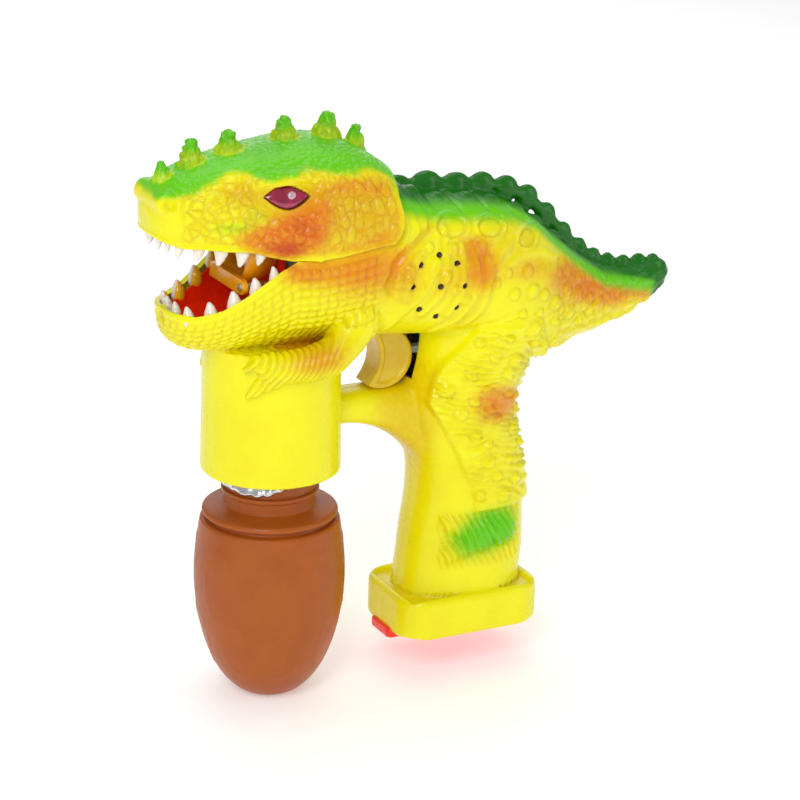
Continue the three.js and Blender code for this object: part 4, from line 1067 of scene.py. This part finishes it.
def carve_head(skin):
    """Scales, lids, nostrils and ribs on the head cover; returns the painted shade for its hollows."""
    x, z, side = skin.x, skin.z, skin.side
    up = skin.normals[:, 2]
    lip = line(LIP)(x)
    back = line(COVER_BACK)(z)
    # hollow: painted shade round the scales by the eye
    hollow = np.zeros(len(x))
    height = np.zeros(len(x))

    # scales: round on the muzzle, tall on the cheek, fine on top
    cheek = step(x, 5, 9)
    top = step(up, 0.55, 0.8)
    muzzle_scales = skin.cobbles(3.8, (1, 1, 0.92)) ** 1.3
    cheek_scales = skin.cobbles(3.7, (0.9, 1, 1.55), where=x > 3)
    fine = skin.cobbles(2.6, where=up > 0.45)
    scales = muzzle_scales * (1 - cheek) + cheek_scales * cheek
    rim = np.minimum(z - lip, np.where(z > lip, back - x, 50))
    clear = step(rim, 2.0, 3.2)
    eye = np.hypot((x - EYE_PLACE[0]) / 11.5, (z - EYE_PLACE[1]) / 7.2)
    around_eye = step(eye, 0.95, 1.2)
    clear = clear * step(x, -47, -43)
    height += clear * around_eye * (1 - top) * (1.25 * scales - 0.4)
    height += top * (0.45 * fine - 0.1) * clear
    hollow = np.maximum(hollow, clear * around_eye * (1 - scales) * (0.75 - top * 0.4))
    height += 0.55 * np.exp(-((rim - 0.9) / 0.9) ** 2)

    # cheek ridge, brow line, lids and eye socket
    height += skin.ridge(CHEEK_RIDGE, 3.4, 1.2) * (up < 0.7)
    height += skin.ridge(BROW_LINE, 3.0, 1.0)
    lid = almond(x, z)
    height += 0.9 * np.exp(-((lid - 0.9) / 0.7) ** 2) * (side > 10)
    height += -2.6 * step(0.25 - lid, 0, 0.8) * (side > 10)

    # nostril: raised ring round a shallow dish
    nose = np.hypot((x + 49) / 3.2, (z - 212) / 3.4)
    height += 0.9 * np.exp(-((nose - 1) / 0.3) ** 2) - 1.3 * step(0.8 - nose, 0, 0.6)

    # ribs up the sides of the cones
    for foot_x, foot_z, tip_x, tip_z, radius in NUBS:
        middle = (foot_x + tip_x) / 2
        near = step(1.3 - np.hypot(x - middle, skin.y) / radius, 0, 0.4) * step(z, foot_z - 1, foot_z + 1.5)
        turn = np.arctan2(skin.y, x - middle)
        height += near * 0.2 * np.sin(turn * 7) * step(tip_z - z, 2, 5)
    skin.carve(height)
    return hollow


def paint_head(skin, hollow):
    """The green top, the burnt and orange mist under the eye, the dark rim of the eye, painted shade in the
    hollows and green painted shade under the muzzle swelling.
    """
    x, z, side = skin.x, skin.z, skin.side
    band = line([
        [-56, 216], [-48, 215.4], [-43, 216], [-37, 219], [-29, 222], [-23, 223], [-18, 222.4], [-13, 221],
        [-5, 222], [5, 223.6], [15, 222.4], [27, 221.2], [35, 220], [46, 213],
    ])(x) - 1.2 + 1.0 * wander(x, skin.y, 4)
    green = np.maximum(step(z, band - 2.4, band + 2.2), 0.55 * step(x, 33, 40) * step(z, 206, 214))
    for foot_x, foot_z, _, tip_z, radius in NUBS:
        flank = step(1.12 - np.hypot(x - foot_x, skin.y) / radius, 0, 0.25) * step(tip_z - 3.4 - z, -2, 3)
        green *= 1 - 0.42 * flank * step(z, foot_z - 2, foot_z + 1)
    # painted shade: the hollows, turned ochre by the finish
    skin.paint_layer("hollow", hollow)
    # painted shade: green under the muzzle swelling, where the yellow lies in shade
    under_pod_shade = zone(skin, [((-27, 203), 9, 3.2, 0.4), ((-18, 208), 5, 4, 0.3)])
    skin.paint_layer("grass", np.maximum(green * 0.92, under_pod_shade))
    skin.paint_layer("forest", 0.28 * step(z, band + 2, band + 9))
    # orange mist, with orange painted shade added in the cheek's hollows
    skin.paint_layer("orange", np.maximum(zone(skin, [
        ((-1, 201), 12, 10, 1.0), ((-9, 197), 12, 7, 0.9), ((4, 209), 9, 6, 0.6), ((-19, 198), 9, 6, 0.55),
        ((18, 216), 14, 3.6, 0.55), ((31, 214), 8, 4, 0.5), ((31, 195), 9, 4.5, 0.55),
        ((18, 192), 12, 3, 0.5), ((36, 203), 3.4, 9, 0.4), ((-24, 217), 8, 3, 0.35),
    ]), 0.5 * hollow * step(x, 6, 12)))
    skin.paint_layer("burnt", zone(skin, [
        ((-2, 203), 6, 4.5, 0.45), ((-6, 193), 8, 4.5, 0.75), ((4, 199), 6, 4, 0.3),
        ((-16, 194), 7, 3.4, 0.3),
    ]))
    skin.paint_layer("ochre", zone(skin, [
        ((-2, 206), 22, 14, 0.75), ((20, 211), 22, 10, 0.6), ((26, 200), 18, 14, 0.6),
        ((-20, 214), 14, 4, 0.5),
    ]))
    skin.paint_layer("brown", 0.9 * step(0.5 - almond(x, z), 0, 0.5) * (side > 10))


def head_skin():
    """The head cover, cut along the lip and at its back."""
    made = cast(head_form(), "head_cover_skin", HEAD_GRAIN, 4)
    skin = Skin(made)
    hollow = carve_head(skin)
    paint_head(skin, hollow)
    slice_at(made, 2, line(LIP))
    slice_at(made, 0, line(COVER_BACK))
    drop_faces(made, lambda x, y, z: (z < line(LIP)(x)) | (x > line(COVER_BACK)(z)))
    turn_in(made, 2.2, lambda place: place.z > 198 and place.x > float(line(COVER_BACK)(place.z)) - 0.1)
    return made


# ---------------------------------------------------------------- teeth, eyes and mouth
# teeth: place along X, height, radius
UPPER_TEETH = [[-45, 5, 2.1], [-38, 5.6, 2.7], [-29.6, 6.4, 3.0], [-21.6, 6.6, 3.0], [-14.6, 4.8, 2.4]]
LOWER_TEETH = [[-40.5, 2.8, 2.6], [-33, 3.2, 2.9], [-24.5, 3.2, 3.0], [-16.5, 2.8, 2.7], [-9.5, 2.2, 2.2]]


def tooth(bm, foot, tip, radius):
    """A curved cone with a rounded point."""
    foot, tip = Vector(foot), Vector(tip)
    along = tip - foot
    bow = Vector((0.05, 0, 0)) * along.length
    sizes = ((0, 1), (0.3, 0.9), (0.6, 0.66), (0.85, 0.4), (0.93, 0.28))
    points = [[*(foot + along * t + bow * math.sin(t * math.pi)), radius * size] for t, size in sizes]
    limb(bm, points, 20)


def upper_teeth():
    bm = bmesh.new()
    for sign in (-1, 1):
        for x, tall, radius in UPPER_TEETH:
            root = float(line(LIP)(x))
            half = 0.94 * float(curve(SKULL, [x])[0][2]) - 3.4
            tooth(bm, (x + 0.5, sign * half, root + 0.8), (x - 0.8, sign * (half - 0.4), root - tall), radius)
    for y in (-9.6, -4.2, 4.2, 9.6):
        forward = -50.4 + abs(y) * 0.24
        tooth(bm, (forward, y, 200.5), (forward - 0.4, y, 192), 1.9)
    return cast(bm, "upper_tooth_row", 0.34, 3)


def lower_teeth():
    bm = bmesh.new()
    for sign in (-1, 1):
        for x, tall, radius in LOWER_TEETH:
            root = float(line(JAW_RIM)(x))
            half = 0.985 * float(curve(BODY, [x])[0][2]) - 3.0
            tooth(bm, (x, sign * half, root - 3), (x - 0.7, sign * (half - 0.3), root + tall), radius)
    for y in (-4, 4):
        tooth(bm, (-42.4, y, 164.6), (-42.9, y, 170.6), 2.4)
    made = cast(bm, "lower_teeth", 0.34, 3)
    skin = Skin(made)
    half = 0.985 * curve(BODY, skin.x)[:, 2] - 3.0
    skin.paint_layer("inside", step(half - skin.side, 0.2, 1.4) * (skin.x > -41))
    return made


def head_side(x, z):
    """How far the head's side stands from the middle at a place in the side view."""
    lowest, highest, half, middle = curve(SKULL, np.atleast_1d(x)).T
    reach = np.where(z > middle, highest - middle, middle - lowest)
    share = np.clip(np.abs(z - middle) / reach, 0, 0.98)
    return half * (1 - share**2.3) ** (1 / 2.3)


def eye_lens(sign):
    """An almond dome with pointed corners, lying in the head's side."""
    bm = bmesh.new()
    bmesh.ops.create_uvsphere(bm, u_segments=64, v_segments=32, radius=1)
    for vert in bm.verts:
        along, out, tall = vert.co
        narrow = (1 - abs(along) ** 1.8) / math.sqrt(max(1e-4, 1 - along * along))
        x = EYE_PLACE[0] + EYE_REACH * along
        z = EYE_PLACE[1] + (EYE_HEIGHT + 0.1) * tall * narrow + eye_bow(along)
        side = float(head_side(x, z)[0])
        vert.co = (x, sign * (side - 0.9 + 1.8 * out), z)
    bmesh.ops.remove_doubles(bm, verts=bm.verts[:], dist=0.01)
    bmesh.ops.recalc_face_normals(bm, faces=bm.faces[:])
    return piece(bm, "right_eye_dome" if sign > 0 else "left_eye_dome")


def eye_lamp(sign):
    """The round head of the lamp that shows in the middle of the eye."""
    bm = bmesh.new()
    place = (EYE_PLACE[0] + 1.9, EYE_PLACE[1] + 0.2)
    side = float(head_side(*place)[0])
    ball(bm, (place[0], sign * (side - 0.1), place[1]), (2.0, 1.3, 2.0), 4)
    return piece(bm, "right_eye_bead" if sign > 0 else "left_eye_bead")


def ring_piece():
    """The bubble ring: a short tube with a lip, standing across the mouth."""
    bm = bmesh.new()
    profile = [(12.6, -3.6), (12.9, -3.8), (15, -3.8), (15.5, -3.3), (15.5, 8), (12.6, 8), (12.6, -3.6)]
    verts = [bm.verts.new((radius, 0, height)) for radius, height in profile[:-1]]
    edges = [bm.edges.new(pair) for pair in zip(verts, verts[1:] + verts[:1])]
    bmesh.ops.spin(
        bm, geom=verts + edges, cent=(0, 0, 0), axis=(0, 0, 1), angle=math.tau, steps=96, use_merge=True
    )
    bmesh.ops.remove_doubles(bm, verts=bm.verts[:], dist=0.001)
    bmesh.ops.recalc_face_normals(bm, faces=bm.faces[:])
    upright = Matrix.Translation((-13.4, 0, 189)) @ Matrix.Rotation(math.pi / 2, 4, "Y")
    bmesh.ops.transform(bm, matrix=upright, verts=bm.verts[:])
    return piece(bm, "amber_ring")


# ---------------------------------------------------------------- bottle, foil, trigger
BOTTLE_PROFILE = [
    (8, 0), (10.6, 0.7), (15, 3.6), (20.4, 10), (25, 19.5), (28.3, 31), (30, 43), (30.4, 52), (30, 60),
    (29, 68), (28.2, 73.4), (27.8, 74.6), (26.9, 75.1), (25.4, 75.2), (24.9, 75.8), (25, 76.9), (26.6, 77.2),
    (27.2, 77.8), (27, 78.8), (26, 79.6), (22, 80.6), (19.4, 81.2), (18.4, 82), (18.4, 86), (19.4, 86.6),
    (19.6, 87.4), (19.4, 88.2), (18.2, 88.8), (18, 92), (18, 102.6), (17.4, 103.3),
]


def bottle_piece():
    bm = bmesh.new()
    numbered = [[number, *point] for number, point in enumerate(BOTTLE_PROFILE)]
    fine = curve(numbered, np.linspace(0, len(numbered) - 1, 240))
    turned(bm, [tuple(row) for row in fine], around=160)
    made = piece(bm, "egg_bottle")
    skin = Skin(made)
    turn = np.degrees(np.arctan2(skin.y, skin.x))
    height = np.zeros(len(skin.x))
    for number in range(8):
        centre = -180 + 45 * number + 22
        for level, reach in ((52, 15), (26, 12)):
            across = (turn - centre - 12 * (level == 26) + 180) % 360 - 180
            r = np.hypot(across / 13, (skin.z - level) / reach)
            height += 0.28 * np.exp(-((r - 1) / 0.07) ** 2)
    skin.carve(height * step(74 - skin.z, 0, 3))
    return made


def foil_piece():
    """Crumpled foil wrapped over the neck's rim, hanging lowest at the front left."""
    bm = bmesh.new()
    grid = bmesh.ops.create_grid(bm, x_segments=150, y_segments=56, size=1)
    for vert in grid["verts"]:
        turn = (vert.co.x + 1) * math.pi
        share = (vert.co.y + 1) / 2
        rise = min(1, share / 0.7)
        spot = Vector((math.cos(turn) * 3.1, math.sin(turn) * 3.1, share * 4))
        crumple = abs(noise.noise(spot)) * 1.9 + abs(noise.noise(spot * 2.3)) * 1.1
        skirt = 90.8 + 8 * float(step(math.cos(turn - math.radians(-165)), 0.8, -0.1))
        if share < 0.7:
            radius = min(18.5 + 1.3 * (1 - rise) ** 2 + crumple * (0.5 + 0.4 * (1 - rise)), 20.9)
            height = skirt + (103.7 - skirt) * rise - 0.6 * crumple * (1 - rise)
        else:
            radius = 18.6 - (share - 0.7) / 0.3 * 13.4
            height = 103.7 + 0.2 * crumple
        vert.co = (radius * math.cos(turn), radius * math.sin(turn), height)
    bmesh.ops.remove_doubles(bm, verts=bm.verts[:], dist=0.001)
    made = piece(bm, "crumpled_foil_wrap")
    thick = made.modifiers.new("thick", "SOLIDIFY")
    thick.thickness = 0.12
    return applied(made)


def battery_lid():
    """The red cover under the plinth, with a lip at its front and a shelf that holds the cells."""
    bm = bmesh.new()
    slab(bm, (53.6, -21, 17.5), (113.9, 21, 20.4), round_by=0.6, upright=11)
    slab(bm, (74, -15, 19.8), (106, 15, 27.6), round_by=0.5, upright=5)
    slab(bm, (50.2, -8.5, 14.8), (57, 8.5, 19.2), round_by=0.9, upright=2.4)
    made = cast(bm, "battery_lid", 0.4, 2)
    skin = Skin(made)
    from_screw = np.hypot(skin.x - 60.5, skin.y)
    skin.carve(-1.2 * step(3.3 - from_screw, 0, 0.4) * (skin.normals[:, 2] < -0.7))
    return made


def trigger_piece():
    """A rounded crescent with a finger hollow and a sunk side panel."""
    bm = bmesh.new()
    level = Matrix.Rotation(math.pi / 2, 4, "X")
    bmesh.ops.create_cone(
        bm, cap_ends=True, segments=120, radius1=TRIGGER_RADIUS, radius2=TRIGGER_RADIUS, depth=12.4,
        matrix=Matrix.Translation((TRIGGER_DISC[0], 0, TRIGGER_DISC[1])) @ level,
    )
    slab(bm, (45, -5, 146), (53, 5, 159))
    body = cast(bm, "trigger_lever", 0.45, 1)
    cutter = bmesh.new()
    bmesh.ops.create_cone(
        cutter, cap_ends=True, segments=160, radius1=FINGER_RADIUS, radius2=FINGER_RADIUS, depth=30,
        matrix=Matrix.Translation((FINGER_PLACE[0], 0, FINGER_PLACE[1])) @ level,
    )
    tool = piece(cutter, "finger_shape")
    hollow = body.modifiers.new("finger", "BOOLEAN")
    hollow.operation = "DIFFERENCE"
    hollow.object = tool
    applied(body)
    even = body.modifiers.new("even", "REMESH")
    even.mode = "VOXEL"
    even.voxel_size = 0.4
    soft = body.modifiers.new("soft", "SMOOTH")
    soft.iterations = 14
    applied(body)
    bpy.data.objects.remove(tool)
    skin = Skin(body)
    from_rim = TRIGGER_RADIUS - skin.off_spot(TRIGGER_DISC)
    from_finger = skin.off_spot(FINGER_PLACE) - FINGER_RADIUS
    sunk = step(np.minimum(from_rim, from_finger), 2.0, 2.7) * (skin.z < 150)
    skin.carve(-0.9 * sunk * (np.abs(skin.normals[:, 1]) > 0.7))
    return body


# ---------------------------------------------------------------- dressing the frame
FINISH = finishes()


def finished(made, body, slot, *nodes):
    """Moves a piece onto the frame, gives it its finish, hangs it on its body's empty and hides any CAD nodes
    it takes the place of.
    """
    made.data.transform(ONTO_FRAME)
    made.data.materials.clear()
    made.data.materials.append(FINISH[slot])
    for face in made.data.polygons:
        face.use_smooth = True
    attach(made, body)
    if nodes:
        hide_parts(*nodes)
    return made


def dress_nodes():
    """Gives every CAD node the finish of its slot."""
    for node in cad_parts.values():
        for number, material in enumerate(node.data.materials):
            name = material.name.split(".")[0] if material else ""
            node.data.materials[number] = FINISH.get(name, FINISH["white"])
        if not node.data.materials:
            node.data.materials.append(FINISH["white"])


dress_nodes()
left, right = body_skins()
finished(left, "casing", "shell", "left_shell")
finished(right, "casing", "shell", "right_shell")
finished(head_skin(), "casing", "head", "head_cover")
finished(upper_teeth(), "casing", "ivory", "upper_teeth")
finished(lower_teeth(), "casing", "ivory")
for sign, name in ((-1, "left"), (1, "right")):
    finished(eye_lens(sign), "casing", "lens", name + "_eye_lens")
    finished(eye_lamp(sign), "casing", "lamp", name + "_eye_lamp")
finished(ring_piece(), "casing", "amber", "bubble_ring")
finished(bottle_piece(), "bottle", "egg", "bottle")
finished(foil_piece(), "foil", "foil", "foil_seal")
finished(trigger_piece(), "trigger", "trigger", "trigger")
finished(battery_lid(), "battery_door", "red", "battery_cover")


# ---------------------------------------------------------------- floor, light and camera
def floor():
    """A wide pale floor."""
    bm = bmesh.new()
    bmesh.ops.create_grid(bm, x_segments=1, y_segments=1, size=3)
    made = piece(bm, "floor")
    paper = Finish("pale_paper", roughness=0.9)
    paper.set("Base Color", paper.mix(paper.clouds(60, 2), (0.93, 0.93, 0.93), (0.90, 0.90, 0.90)))
    paper.set("Emission Color", (1, 1, 1, 1))
    paper.set("Emission Strength", 0.3)
    made.data.materials.append(paper.material)


def lamp(name, place, target, size, power):
    """A soft rectangular light turned to its target."""
    light = bpy.data.lights.new(name, "AREA")
    light.shape = "RECTANGLE"
    light.size, light.size_y = size
    light.energy = power
    made = bpy.data.objects.new(name, light)
    made.location = place
    made.rotation_mode = "QUATERNION"
    made.rotation_quaternion = (Vector(target) - Vector(place)).to_track_quat("-Z", "Y")
    bpy.context.scene.collection.objects.link(made)


def camera():
    """A camera at the toy's front left, a little above it."""
    azimuth, elevation, roll = (math.radians(angle) for angle in (-27.6, 19.6, 1.5))
    target = Vector((57.3 * MM + axis_place.x, 0, 115.5 * MM))
    back = Vector((
        math.sin(azimuth) * math.cos(elevation), -math.cos(azimuth) * math.cos(elevation), math.sin(elevation)
    ))
    right = Vector((math.cos(azimuth), math.sin(azimuth), 0))
    up = back.cross(right)
    turned_right = right * math.cos(roll) + up * math.sin(roll)
    turned_up = up * math.cos(roll) - right * math.sin(roll)
    data = bpy.data.cameras.new("camera")
    data.sensor_width = 36
    data.lens = 2976 / 800 * 36
    made = bpy.data.objects.new("camera", data)
    made.matrix_world = Matrix.Translation(target + back * 1.2) @ Matrix(
        (turned_right, turned_up, back)
    ).transposed().to_4x4()
    bpy.context.scene.collection.objects.link(made)
    bpy.context.scene.camera = made


floor()
lamp("key", (-0.8, -0.9, 0.9), (0, 0, 0.12), (0.5, 0.8), 9)
lamp("fill", (0.9, -0.8, 0.5), (0, 0, 0.12), (0.5, 0.8), 2.2)
lamp("top", (0.1, 0.3, 1.4), (0, 0, 0.15), (0.9, 0.9), 4.8)
lamp("rear", (0.5, 1.2, 0.7), (0, 0, 0.15), (0.9, 0.9), 2.5)
world = bpy.data.worlds.new("studio")
world.use_nodes = True
world.node_tree.nodes["Background"].inputs["Color"].default_value = (1, 1, 1, 1)
world.node_tree.nodes["Background"].inputs["Strength"].default_value = 0.42
bpy.context.scene.world = world
bpy.context.scene.view_settings.view_transform = "Standard"
camera()
